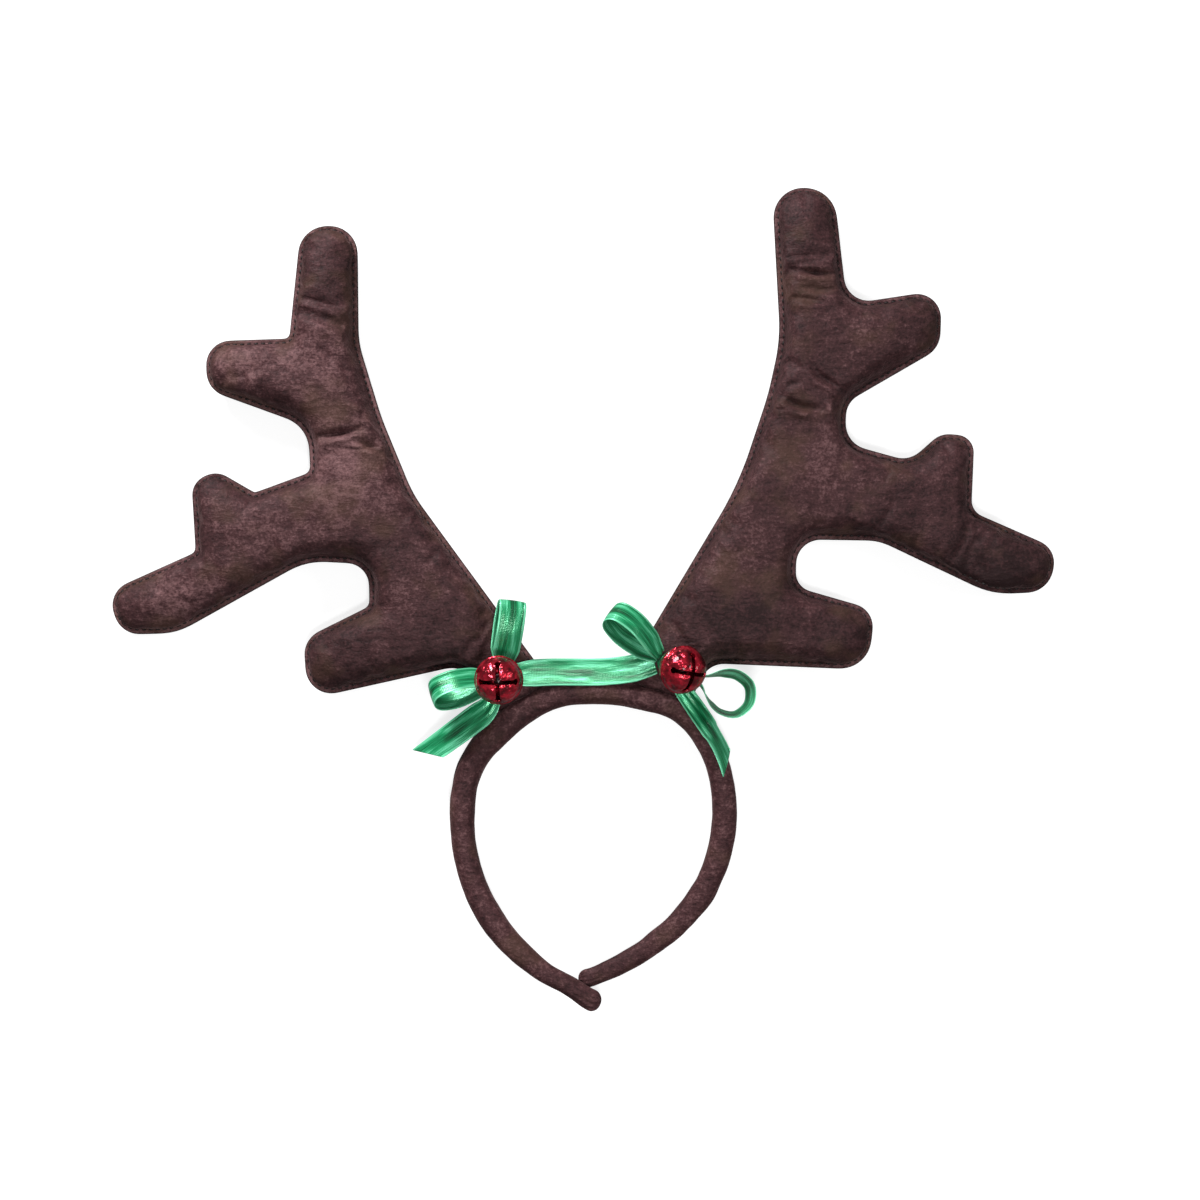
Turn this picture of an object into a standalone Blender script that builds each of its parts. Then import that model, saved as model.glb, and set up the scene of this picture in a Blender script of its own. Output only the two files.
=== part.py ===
"""Reindeer antler headband: padded band, two stuffed felt antlers, satin bows and jingle bells.

The headband lies on its back on the plane z = 0. The front of the headband faces +Z, the antlers
point to +Y, and +X is the right-hand side of a person who looks at the front. Metres throughout.
"""
import math

import bmesh
import bpy
import numpy
from mathutils import Matrix, Vector
from mathutils.bvhtree import BVHTree
from mathutils.geometry import delaunay_2d_cdt

# Clearance between pieces that touch on the real object
GAP = 0.0003

# Band: a padded hoop that is open at the bottom, where its two ends cross
HOOP_RADIUS = 0.059
BAND_THICKNESS = 0.011
BAND_DEPTH = 0.018
BAND_END_DEPTH = 0.009
BAND_STATIONS = 58
BAND_SIDES = 12
BAND_SQUARENESS = 3.0

# Antlers: two felt panels each, sewn together along a seam inside a raw-edged flange
ANTLER_REACH = 0.182
ANTLER_RISE = 0.207
TINE_WIDTH = 0.0245
FELT = 0.0012
FLANGE = 0.0021
SHOULDER = 0.0034
PUFF = 0.0115
FOOT_PUFF = 0.0045
PUFF_RATE = 1.5
OUTLINE_STEP = 0.0135
FILL_STEP = 0.0085
ARC_STEP = math.radians(40)

# Ribbon: green satin, made into two bows and a strip along the crown
RIBBON_WIDTH = 0.012
RIBBON_THICKNESS = 0.001
LOOP_REACH = 0.034
LOOP_STATIONS = 23
TAIL_LENGTH = 0.042
STRIP_STATIONS = 16
TAIL_SET_IN = 0.0015
RIGHT_TAIL_TURNS = (38.0, 64.0)
CROWN_RIBBON_RISE = 0.0034
KNOT_WIDTH = 0.0085
KNOT_DEPTH = 0.0055
KNOT_RISE = 0.012
KNOT_SIDES = 8
KNOT_LAYERS = ((-1.0, 0.62), (-0.72, 0.95), (0.0, 1.0), (0.72, 0.95), (1.0, 0.62))
KNOT_CORNER = 0.5 * KNOT_WIDTH / math.cos(math.pi / KNOT_SIDES)

# Bells: thin hollow balls with a cross of slots opposite the sewing eye
BELL_RADIUS = 0.0102
BELL_WALL = 0.0006
SLOT_WIDTH = 0.0016
SLOT_HOLE_RADIUS = 0.0014
SLOT_SPREAD = math.radians(52)
SHANK_RADIUS = 0.0016
SHANK_WIRE_RADIUS = 0.00045
PELLET_RADIUS = 0.0026

# Band stations from the left end over the crown to the right end.
# turn: degrees from the crown, clockwise. reach: share of HOOP_RADIUS. thick: share of BAND_THICKNESS.
# slim: share of the way from BAND_DEPTH to BAND_END_DEPTH. raised: share of the way from lying on
# the floor to lying on the other end.
BAND_TABLE = (
    ("left end", -179.0, 1.29, 0.86, 1.00, 1.00),
    ("left end neck", -173.0, 1.22, 0.76, 1.00, 1.00),
    ("left low", -161.0, 1.147, 0.84, 0.85, 0.85),
    ("left lower bend", -143.0, 1.065, 0.96, 0.60, 0.60),
    ("left below side", -124.0, 1.012, 1.02, 0.40, 0.34),
    ("left side low", -105.0, 0.985, 0.98, 0.26, 0.15),
    ("left side", -87.0, 0.985, 1.00, 0.16, 0.05),
    ("left side high", -65.0, 1.02, 1.04, 0.08, 0.00),
    ("left shoulder", -41.0, 1.005, 1.18, 0.00, 0.00),
    ("left of crown", -20.0, 1.015, 1.06, 0.00, 0.00),
    ("crown", 0.0, 1.00, 1.00, 0.00, 0.00),
    ("right of crown", 20.0, 1.02, 1.00, 0.00, 0.00),
    ("right shoulder", 37.0, 1.075, 0.98, 0.00, 0.00),
    ("right side high", 55.0, 1.05, 0.95, 0.08, 0.00),
    ("right side", 80.0, 0.99, 1.00, 0.18, 0.00),
    ("right side low", 100.0, 0.96, 1.00, 0.30, 0.00),
    ("right below side", 118.0, 0.957, 1.00, 0.45, 0.00),
    ("right lower bend", 136.0, 0.965, 0.94, 0.65, 0.00),
    ("right low", 156.0, 1.003, 0.84, 0.85, 0.00),
    ("right end neck", 173.0, 1.086, 0.76, 1.00, 0.00),
    ("right end", 182.0, 1.15, 0.74, 1.00, 0.00),
)

# Where the antlers stand on the band: inner and outer end of the foot, degrees from the crown.
FOOT_TURNS = {"left": (-17.0, -42.0), "right": (11.0, 38.0)}

# Corners of the antlers' cut edge, from the foot's inner end round to its outer end.
# out and up are measured from the middle of the foot: out is a share of ANTLER_REACH, away from
# the middle of the headband, and up a share of ANTLER_RISE. round: share of TINE_WIDTH.
OUTLINES = {
    "left": (
        ("beam low", 0.258, 0.428, 1.80),
        ("beam middle", 0.335, 0.592, 3.60),
        ("beam high", 0.390, 0.751, 1.30),
        ("top tine inner", 0.393, 1.000, 0.50),
        ("top tine outer", 0.530, 1.000, 0.52),
        ("crotch below top tine", 0.558, 0.760, 0.10),
        ("second tine upper", 0.761, 0.754, 0.52),
        ("second tine lower", 0.758, 0.651, 0.46),
        ("bay upper", 0.513, 0.573, 0.62),
        ("bay lower", 0.507, 0.475, 0.15),
        ("valley", 0.642, 0.432, 0.07),
        ("spur inner", 0.734, 0.479, 0.40),
        ("spur outer", 0.795, 0.454, 0.42),
        ("spur foot", 0.785, 0.305, 0.10),
        ("long tine upper", 1.000, 0.220, 0.44),
        ("long tine lower", 0.966, 0.129, 0.46),
        ("long tine under", 0.831, 0.132, 1.10),
        ("lower bay outer", 0.517, 0.286, 1.10),
        ("lower bay corner", 0.366, 0.279, 0.88),
        ("lower bay foot", 0.364, 0.190, 0.15),
        ("brow tine upper", 0.524, 0.120, 0.46),
        ("brow tine lower", 0.514, -0.009, 0.54),
        ("lower edge", 0.130, 0.066, 0.50),
    ),
    "right": (
        ("beam low", 0.203, 0.430, 4.50),
        ("beam middle", 0.276, 0.623, 3.60),
        ("beam high", 0.305, 0.740, 2.20),
        ("top tine inner", 0.285, 1.063, 0.60),
        ("top tine outer", 0.435, 1.063, 0.58),
        ("crotch below top tine", 0.467, 0.815, 0.44),
        ("second tine upper", 0.698, 0.846, 0.50),
        ("second tine lower", 0.692, 0.721, 0.48),
        ("bay upper", 0.466, 0.606, 0.42),
        ("bay lower", 0.462, 0.519, 0.52),
        ("valley", 0.618, 0.481, 0.46),
        ("spur inner", 0.694, 0.540, 0.42),
        ("spur outer", 0.776, 0.534, 0.38),
        ("spur foot", 0.768, 0.374, 0.30),
        ("long tine upper", 0.976, 0.294, 0.42),
        ("long tine lower", 0.957, 0.202, 0.56),
        ("long tine under", 0.818, 0.197, 1.30),
        ("lower bay outer", 0.545, 0.311, 0.90),
        ("lower bay corner", 0.346, 0.314, 0.84),
        ("lower bay foot", 0.342, 0.213, 0.34),
        ("brow tine upper", 0.535, 0.164, 0.42),
        ("brow tine lower", 0.518, 0.036, 0.56),
        ("lower edge", 0.133, 0.050, 0.43),
    ),
}

# Creases in the front panels. out and up as above, heading in degrees from the outward direction,
# half length and half width as shares of TINE_WIDTH, depth as a share of PUFF.
CREASES = {
    "left": (
        ("below top tine", 0.470, 0.800, -22.0, 1.10, 0.16, 0.24),
        ("across the beam", 0.450, 0.565, 10.0, 0.95, 0.15, 0.36),
        ("under the beam fold", 0.405, 0.530, -20.0, 0.60, 0.14, 0.22),
    ),
    "right": (
        ("top tine high", 0.370, 0.900, 2.0, 0.95, 0.13, 0.20),
        ("top tine low", 0.370, 0.855, -2.0, 0.95, 0.13, 0.24),
        ("beam fold high", 0.385, 0.640, -42.0, 0.75, 0.15, 0.30),
        ("beam fold low", 0.335, 0.595, -28.0, 0.75, 0.15, 0.26),
    ),
}

# A ribbon loop in its own plane, from the knot out and back: shares of the loop's reach.
LOOP_TABLE = (
    ("leaves the knot", 0.00, 0.12, 0.05),
    ("opens", 0.14, 0.38, 0.66),
    ("widest", 0.30, 0.72, 1.00),
    ("turns", 0.42, 0.95, 0.62),
    ("far end", 0.50, 1.00, 0.00),
    ("turns back", 0.58, 0.95, -0.62),
    ("widest again", 0.70, 0.72, -1.00),
    ("closes", 0.86, 0.38, -0.66),
    ("meets the knot", 1.00, 0.12, -0.05),
)

# The right bow's ring loop runs out from the knot with its two ends side by side, then opens round.
RING_TABLE = (
    ("leaves the knot", 0.00, 0.12, 0.07),
    ("neck", 0.17, 0.44, 0.24),
    ("opens", 0.26, 0.60, 0.78),
    ("widest", 0.36, 0.78, 1.00),
    ("turns", 0.45, 0.95, 0.64),
    ("far end", 0.50, 1.00, 0.00),
    ("turns back", 0.55, 0.95, -0.64),
    ("widest again", 0.64, 0.78, -1.00),
    ("closes", 0.74, 0.60, -0.78),
    ("neck again", 0.83, 0.44, -0.24),
    ("meets the knot", 1.00, 0.12, -0.07),
)
RING_MIDDLE = 0.78

# Loops of the bows. heading: degrees from +X, anticlockwise. reach: share of LOOP_REACH.
# opening: half opening as a share of the reach. roll: degrees that the loop's plane is turned
# about its heading, from upright (0) to flat (90). forward: share of RIBBON_WIDTH.
# pitch: degrees that the far end is lifted. flare: how far the front edge leans out of the loop.
LOOPS = (
    ("upper_loop", "left", 81.0, 0.97, 0.13, 14.0, 0.20, 6.0, 0.0),
    ("outer_loop", "left", 196.0, 0.92, 0.19, 42.0, 0.32, 5.0, 0.0),
    ("upper_loop", "right", 138.0, 0.98, 0.19, 40.0, 0.26, 6.0, 0.0),
    ("ring_loop", "right", -26.0, 1.17, 0.22, 84.0, 0.13, -1.0, 0.3),
)


# Middle line of the left tail, from beside the knot: right, up and forward as shares of TAIL_LENGTH
LEFT_TAIL_TABLE = (
    ("beside the knot", 0.00, 0.00, 0.00, 0.00),
    ("over the band's edge", 0.24, -0.10, -0.22, 0.01),
    ("leaves the band", 0.45, -0.27, -0.36, -0.03),
    ("middle", 0.72, -0.51, -0.54, -0.11),
    ("cut end", 1.00, -0.74, -0.71, -0.20),
)

# How far the long edge of each tail's slanted cut reaches past the short one, in RIBBON_WIDTH
TAIL_SLANTS = {"left": 0.40, "right": 0.75}

# Which way each strip leaves its knot, in degrees from +X, anticlockwise
STRIP_HEADINGS = {"left tail": 250.0, "right tail": -64.0, "crown left": 0.0, "crown right": 180.0}

# Where the bells face, and how far each is turned about that direction, in radians
BELL_AXES = {"left": (-0.03, -0.10, 1.0), "right": (0.43, -0.17, 0.89)}
BELL_SPINS = {"left": 0.3, "right": 0.2}

# How far each knot is from the foot's inner to its outer end
KNOT_SHARES = {"left": 0.55, "right": 0.58}


def fresh_collection(name):
    collection = bpy.data.collections.new(name)
    bpy.context.scene.collection.children.link(collection)
    return collection


def finish(name, colour, roughness, metallic=0.0):
    """One Principled material for one piece."""
    material = bpy.data.materials.new(name)
    material.use_nodes = True
    shader = material.node_tree.nodes["Principled BSDF"]
    shader.inputs["Base Color"].default_value = (*colour, 1.0)
    shader.inputs["Roughness"].default_value = roughness
    shader.inputs["Metallic"].default_value = metallic
    return material


def felt(name):
    return finish(name, (0.076, 0.038, 0.036), 0.95)


def satin(name):
    return finish(name, (0.02, 0.36, 0.13), 0.35)


def red_metal(name):
    return finish(name, (0.42, 0.008, 0.016), 0.18, 0.9)


def brass(name):
    return finish(name, (0.60, 0.42, 0.16), 0.3, 1.0)


def steel(name):
    return finish(name, (0.5, 0.5, 0.5), 0.3, 1.0)


def curve_through(table, column, places):
    """Smooth values of one column of a table, read at places of its first number column."""
    knots = numpy.array([row[1] for row in table])
    values = numpy.array([row[column] for row in table])
    slopes = numpy.gradient(values, knots)
    places = numpy.clip(places, knots[0], knots[-1])
    left = numpy.clip(numpy.searchsorted(knots, places, side="right") - 1, 0, len(knots) - 2)
    span = knots[left + 1] - knots[left]
    t = (places - knots[left]) / span
    rise = values[left + 1] - values[left]
    start = slopes[left] * span
    end = slopes[left + 1] * span
    return values[left] + start * t + (3 * rise - 2 * start - end) * t**2 + (start + end - 2 * rise) * t**3


def add_piece(name, mesh, material, collection):
    piece = bpy.data.objects.new(name, mesh)
    mesh.materials.append(material)
    collection.objects.link(piece)
    return piece


def loft(name, rings, material, collection):
    """A closed body through rings of equal vertex count."""
    bm = bmesh.new()
    loops = [[bm.verts.new(point) for point in ring] for ring in rings]
    for ring, following in zip(loops, loops[1:]):
        for i, vertex in enumerate(ring):
            j = (i + 1) % len(ring)
            bm.faces.new((vertex, ring[j], following[j], following[i]))
    bm.faces.new(loops[0])
    bm.faces.new(loops[-1])
    bmesh.ops.recalc_face_normals(bm, faces=bm.faces)
    mesh = bpy.data.meshes.new(name)
    bm.to_mesh(mesh)
    bm.free()
    return add_piece(name, mesh, material, collection)


def band_middle(turn):
    """A point of the band's middle line, on the plane z = 0."""
    reach = HOOP_RADIUS * float(curve_through(BAND_TABLE, 2, turn))
    angle = math.radians(turn)
    return Vector((reach * math.sin(angle), reach * math.cos(angle), 0.0))


def band_outward(turn):
    """The direction away from the hoop's inside, square to the middle line."""
    along = (band_middle(turn + 0.5) - band_middle(turn - 0.5)).normalized()
    return Vector((-along.y, along.x, 0.0))


def band_half_depth(turn):
    slim = min(1.0, max(0.0, float(curve_through(BAND_TABLE, 4, turn))))
    return 0.5 * (BAND_DEPTH + (BAND_END_DEPTH - BAND_DEPTH) * slim)


def band_height(turn):
    """Height of the middle line: the right arm lies on the floor, the left end on the right one."""
    raised = min(1.0, max(0.0, float(curve_through(BAND_TABLE, 5, turn))))
    lift = (BAND_END_DEPTH + GAP) * raised
    return band_half_depth(turn) + lift


def band_edge(turn, clear=0.0):
    """A point on the band's outer edge."""
    half = 0.5 * BAND_THICKNESS * float(curve_through(BAND_TABLE, 3, turn))
    return band_middle(turn) + band_outward(turn) * (half + clear)


def band_section(turn, push, scale):
    """One ring of the band: a squarish oval, with a flat facet at the back."""
    outward = band_outward(turn)
    along = Vector((outward.y, -outward.x, 0.0))
    half = 0.5 * BAND_THICKNESS * float(curve_through(BAND_TABLE, 3, turn)) * scale
    deep = band_half_depth(turn) * scale
    centre = band_middle(turn) + along * push + Vector((0.0, 0.0, band_height(turn)))
    power = 2.0 / BAND_SQUARENESS
    angles = [2.0 * math.pi * (i + 0.5) / BAND_SIDES for i in range(BAND_SIDES)]
    across = [abs(math.sin(a)) ** power * math.copysign(1.0, math.sin(a)) for a in angles]
    height = [abs(math.cos(a)) ** power * math.copysign(1.0, math.cos(a)) for a in angles]
    widest = max(across)
    deepest = max(height)
    ring = []
    for a, b in zip(across, height):
        ring.append(centre + outward * (half * a / widest) + Vector((0.0, 0.0, deep * b / deepest)))
    return ring


def build_band(collection):
    first = BAND_TABLE[0][1]
    last = BAND_TABLE[-1][1]
    turns = numpy.linspace(first, last, BAND_STATIONS)
    rings = [band_section(float(turn), 0.0, 1.0) for turn in turns]
    tip = 0.35 * BAND_THICKNESS
    for angle in (math.radians(35), math.radians(62), math.radians(80)):
        rings.insert(0, band_section(first, -tip * math.sin(angle), math.cos(angle)))
        rings.append(band_section(last, tip * math.sin(angle), math.cos(angle)))
    return loft("band", rings, felt("band_felt"), collection)


def foot_middle(side):
    inner, outer = FOOT_TURNS[side]
    return band_edge(0.5 * (inner + outer), GAP)


def on_antler(side, out, up):
    """A place of an antler's plane, from shares of its reach and rise."""
    away = 1.0 if side == "right" else -1.0
    foot = foot_middle(side)
    return Vector((foot.x + away * out * ANTLER_REACH, foot.y + up * ANTLER_RISE))


def antler_corners(side):
    """Corners of the cut edge with their rounding, closed along the foot by the last edge."""
    inner, outer = FOOT_TURNS[side]
    corners = [(band_edge(inner, GAP).to_2d(), 0.0)]
    for _, out, up, rounding in OUTLINES[side]:
        corners.append((on_antler(side, out, up), rounding * TINE_WIDTH))
    corners.append((band_edge(outer, GAP).to_2d(), 0.0))
    return corners


def cross_2d(a, b):
    return a.x * b.y - a.y * b.x


def inset_corners(corners, inset):
    """The corners moved in by an inset, with the foot's edge kept where it is."""
    count = len(corners)
    area = sum(cross_2d(corners[i - 1][0], corners[i][0]) for i in range(count))
    facing = 1.0 if area > 0 else -1.0
    moved = []
    for i, (place, rounding) in enumerate(corners):
        before = (place - corners[i - 1][0]).normalized()
        after = (corners[(i + 1) % count][0] - place).normalized()
        turn = cross_2d(before, after)
        shift_before = 0.0 if i == 0 else inset
        shift_after = 0.0 if i == count - 1 else inset
        inward_before = Vector((-before.y, before.x)) * facing
        inward_after = Vector((-after.y, after.x)) * facing
        start = place + inward_before * shift_before
        target = place + inward_after * shift_after
        along = cross_2d(target - start, after) / turn
        bulges = turn * facing > 0
        radius = rounding - inset if bulges else rounding + inset
        moved.append((start + before * along, max(radius, 0.0) if rounding else 0.0))
    return moved


def rounded_outline(corners):
    """Points along straight edges and corner arcs, from the first corner to the last."""
    points = []
    for i, (place, radius) in enumerate(corners):
        if radius == 0.0:
            arc = [place]
        else:
            before = corners[i - 1][0] - place
            after = corners[(i + 1) % len(corners)][0] - place
            opening = before.angle(after)
            reach = min(radius / math.tan(opening / 2), before.length / 2, after.length / 2)
            start = place + before.normalized() * reach
            end = place + after.normalized() * reach
            middle = before.normalized() + after.normalized()
            centre = place + middle.normalized() * (reach / math.cos(opening / 2))
            sweep = (start - centre).angle_signed(end - centre)
            pieces = max(1, math.ceil(abs(sweep) / ARC_STEP))
            arc = []
            for k in range(pieces + 1):
                turned = Matrix.Rotation(-sweep * k / pieces, 2) @ (start - centre)
                arc.append(centre + turned)
        if points:
            last = points[-1]
            gap = arc[0] - last
            cuts = math.ceil(gap.length / OUTLINE_STEP)
            points.extend(last + gap * (k / cuts) for k in range(1, cuts))
            if gap.length < 1e-5:
                arc = arc[1:]
        points.extend(arc)
    return points


def foot_points(corners):
    """Points inside the foot's edge, from its outer to its inner end."""
    start = corners[-1][0]
    end = corners[0][0]
    cuts = max(2, math.ceil((end - start).length / (0.5 * OUTLINE_STEP)))
    return [start.lerp(end, k / cuts) for k in range(1, cuts)]


def inside(point, polygon):
    """Whether a 2D point lies in a polygon."""
    crossings = 0
    for a, b in zip(polygon, polygon[1:] + polygon[:1]):
        if (a.y > point.y) != (b.y > point.y):
            if point.x < a.x + (b.x - a.x) * (point.y - a.y) / (b.y - a.y):
                crossings += 1
    return crossings % 2 == 1


def nearest(point, polygon):
    """Distance from a 2D point to the corners and edges of a polygon."""
    best = 1.0
    for a, b in zip(polygon, polygon[1:] + polygon[:1]):
        along = max(0.0, min(1.0, (point - a).dot(b - a) / (b - a).length_squared))
        best = min(best, (point - a.lerp(b, along)).length)
    return best


def fill_points(polygon):
    """A staggered grid inside a polygon, clear of its edge."""
    low_x = min(p.x for p in polygon)
    high_x = max(p.x for p in polygon)
    low_y = min(p.y for p in polygon)
    high_y = max(p.y for p in polygon)
    row_step = FILL_STEP * math.sqrt(0.75)
    rows = math.ceil((high_y - low_y) / row_step)
    columns = math.ceil((high_x - low_x) / FILL_STEP)
    points = []
    for row in range(rows):
        for column in range(columns):
            stagger = 0.5 if row % 2 else 0.0
            point = Vector((low_x + (column + stagger) * FILL_STEP, low_y + row * row_step))
            if inside(point, polygon) and nearest(point, polygon) > 0.45 * FILL_STEP:
                points.append(point)
    return points


class Panel:
    """The flat pattern of an antler, cut into triangles, and how far it puffs up."""

    def __init__(self, side):
        self.side = side
        corners = antler_corners(side)
        edge = rounded_outline(corners)
        foot = foot_points(corners)
        seam = rounded_outline(inset_corners(corners, FLANGE))
        shoulder = rounded_outline(inset_corners(corners, FLANGE + SHOULDER))
        points = edge + foot
        links = [(i, (i + 1) % len(points)) for i in range(len(points))]
        for ring in (seam, shoulder):
            first = len(points)
            points = points + ring
            links += [(first + i, first + i + 1) for i in range(len(ring) - 1)]
        points = points + fill_points(shoulder)
        found = delaunay_2d_cdt(points, links, [], 1, 1e-7)
        self.points = [Vector(p) for p in found[0]]
        self.triangles = found[2]
        self.foot_start = corners[-1][0]
        self.foot_end = corners[0][0]
        self.seam = seam
        self.puff = self.membrane() - self.creases()
        self.puff = numpy.maximum(self.puff, 0.0)

    def foot_share(self, point):
        """How far along the foot's edge a point lies, or None away from that edge."""
        run = self.foot_end - self.foot_start
        away = abs(cross_2d(run.normalized(), point - self.foot_start))
        share = (point - self.foot_start).dot(run) / run.length_squared
        if away < 1e-6 and -1e-6 < share < 1.0 + 1e-6:
            return min(1.0, max(0.0, share))
        return None

    def membrane(self):
        """Height of a soap film over the seam, rounded off at PUFF, and held down at the foot."""
        count = len(self.points)
        stiffness = numpy.zeros((count, count))
        load = numpy.zeros(count)
        for triangle in self.triangles:
            a, b, c = (self.points[i] for i in triangle)
            area = 0.5 * abs(cross_2d(b - a, c - a))
            if area < 1e-12:
                continue
            sides = (c - b, a - c, b - a)
            for i in range(3):
                load[triangle[i]] += area / 3.0
                for j in range(3):
                    stiffness[triangle[i], triangle[j]] += sides[i].dot(sides[j]) / (4.0 * area)
        held = {}
        for i, point in enumerate(self.points):
            share = self.foot_share(point)
            if not inside(point, self.seam) or nearest(point, self.seam) < 1e-6:
                held[i] = 0.0
            if share is not None:
                span = self.seam_share(point)
                lift = FOOT_PUFF * math.sqrt(max(0.0, 1.0 - span * span))
                held[i] = (math.atanh(lift / PUFF) * PUFF / PUFF_RATE) ** 2
        free = [i for i in range(count) if i not in held]
        fixed = list(held)
        values = numpy.zeros(count)
        values[fixed] = [held[i] for i in fixed]
        right = load[free] - stiffness[numpy.ix_(free, fixed)] @ values[fixed]
        values[free] = numpy.linalg.solve(stiffness[numpy.ix_(free, free)], right)
        return PUFF * numpy.tanh(PUFF_RATE * numpy.sqrt(numpy.maximum(values, 0.0)) / PUFF)

    def seam_share(self, point):
        """From -1 to 1 between the seam's two ends on the foot, and beyond them in the flange."""
        start = self.seam[0]
        end = self.seam[-1]
        middle = start.lerp(end, 0.5)
        half = 0.5 * (end - start).length
        return (point - middle).dot((end - start).normalized()) / half

    def creases(self):
        away = 1.0 if self.side == "right" else -1.0
        depth = numpy.zeros(len(self.points))
        for _, out, up, heading, length, width, deep in CREASES[self.side]:
            centre = on_antler(self.side, out, up)
            angle = math.radians(heading)
            along = Vector((away * math.cos(angle), math.sin(angle)))
            across = Vector((-along.y, along.x))
            for i, point in enumerate(self.points):
                a = (point - centre).dot(along) / (length * TINE_WIDTH)
                b = (point - centre).dot(across) / (width * TINE_WIDTH)
                depth[i] += deep * PUFF * math.exp(-a * a - b * b)
        return depth

    def build(self, part, sign, most, collection):
        """One panel: flat at the seam's plane, puffed up to at most `most` on the other side."""
        middle = 0.5 * BAND_DEPTH
        flat = middle + sign * 0.5 * GAP
        inner, outer = FOOT_TURNS[self.side]
        bm = bmesh.new()
        placed = []
        for point, puff in zip(self.points, self.puff):
            share = self.foot_share(point)
            if share is not None:
                point = band_edge(outer + (inner - outer) * share, GAP)
            placed.append((point.x, point.y, sign * min(float(puff), most)))
        upper = [bm.verts.new((x, y, flat + sign * FELT + lift)) for x, y, lift in placed]
        for triangle in self.triangles:
            bm.faces.new([upper[i] for i in triangle])
        rim = [edge for edge in bm.edges if edge.is_boundary]
        made = bmesh.ops.extrude_edge_only(bm, edges=rim)
        lower = [item for item in made["geom"] if isinstance(item, bmesh.types.BMVert)]
        for vertex in lower:
            vertex.co.z = flat
        bmesh.ops.holes_fill(bm, edges=[edge for edge in bm.edges if edge.is_boundary])
        bmesh.ops.recalc_face_normals(bm, faces=bm.faces)
        name = f"antler_{self.side}_{part}"
        mesh = bpy.data.meshes.new(name)
        bm.to_mesh(mesh)
        bm.free()
        return add_piece(name, mesh, felt(f"{name}_felt"), collection)


def top_over(piece, centre, half):
    """The greatest height of a piece's front under a square footprint."""
    depsgraph = bpy.context.evaluated_depsgraph_get()
    tree = BVHTree.FromObject(piece, depsgraph)
    heights = [0.0]
    for x in (-half, 0.0, half):
        for y in (-half, 0.0, half):
            hit = tree.ray_cast(Vector((centre.x + x, centre.y + y, 1.0)), Vector((0.0, 0.0, -1.0)))
            if hit[0] is not None:
                heights.append(hit[0].z)
    return max(heights)


def strip(name, path, sides, widths, collection):
    """A ribbon along a path, with a side direction and a width at each point."""
    rings = []
    for i, point in enumerate(path):
        before = path[max(i - 1, 0)]
        after = path[min(i + 1, len(path) - 1)]
        along = (after - before).normalized()
        side = (sides[i] - along * sides[i].dot(along)).normalized()
        face = along.cross(side)
        half = side * (0.5 * widths[i])
        thick = face * (0.5 * RIBBON_THICKNESS)
        rings.append([point - half - thick, point + half - thick, point + half + thick, point - half + thick])
    return loft(name, rings, satin(f"{name}_satin"), collection)


def bow_loop(part, side, knot, heading, reach, opening, roll, forward, pitch, flare, collection):
    """A loop that leaves the knot and comes back to it, narrowed where the knot gathers it."""
    size = LOOP_REACH * reach
    shares = numpy.linspace(0.0, 1.0, LOOP_STATIONS)
    table = RING_TABLE if part == "ring_loop" else LOOP_TABLE
    outs = numpy.maximum(curve_through(table, 2, shares) * size, KNOT_CORNER + GAP)
    spreads = curve_through(table, 3, shares) * size * opening
    apart = 0.5 * RIBBON_THICKNESS + GAP
    leaving = shares < 0.1
    returning = shares > 0.9
    spreads[leaving] = numpy.maximum(spreads[leaving], apart)
    spreads[returning] = numpy.minimum(spreads[returning], -apart)
    turned = Matrix.Rotation(math.radians(heading), 3, "Z") @ Matrix.Rotation(-math.radians(pitch), 3, "Y")
    turned = turned @ Matrix.Rotation(math.radians(roll), 3, "X")
    start = knot + Vector((0.0, 0.0, 0.18 * KNOT_DEPTH))
    path = []
    sides = []
    widths = []
    for share, out, spread in zip(shares, outs, spreads):
        lift = Vector((0.0, 0.0, forward * RIBBON_WIDTH * min(1.0, out / (0.6 * size))))
        path.append(start + turned @ Vector((out, 0.0, spread)) + lift)
        outward = Vector((out - RING_MIDDLE * size, 0.0, spread)).normalized()
        leaning = flare * min(1.0, max(0.0, (out / size - 0.44) / 0.2))
        sides.append(turned @ (Vector((0.0, 1.0, 0.0)) + outward * leaning))
        gathered = min(1.0, 0.42 + 0.58 * (out - 0.12 * size) / (0.45 * size))
        widths.append(RIBBON_WIDTH * gathered)
    return strip(f"bow_{side}_{part}", path, sides, widths, collection)


def beside_knot(knot, heading):
    """Where a tail or the crown ribbon starts: beside the knot, in the layer below the loops."""
    angle = math.radians(heading)
    away = Vector((math.cos(angle), math.sin(angle), 0.0)) * (KNOT_CORNER + 2.0 * GAP)
    start = knot + away
    start.z = knot.z - 0.5 * KNOT_DEPTH + 0.5 * RIBBON_THICKNESS + GAP
    return start


def cut_end(piece, slant):
    """Slants the cut at the far end of a tail: the edge away from its side direction is longer."""
    vertices = piece.data.vertices
    last = [vertices[len(vertices) - 4 + i] for i in range(4)]
    before = [vertices[len(vertices) - 8 + i] for i in range(4)]
    for i in (0, 3):
        last[i].co = last[i].co + (last[i].co - before[i].co).normalized() * (slant * RIBBON_WIDTH)


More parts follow.
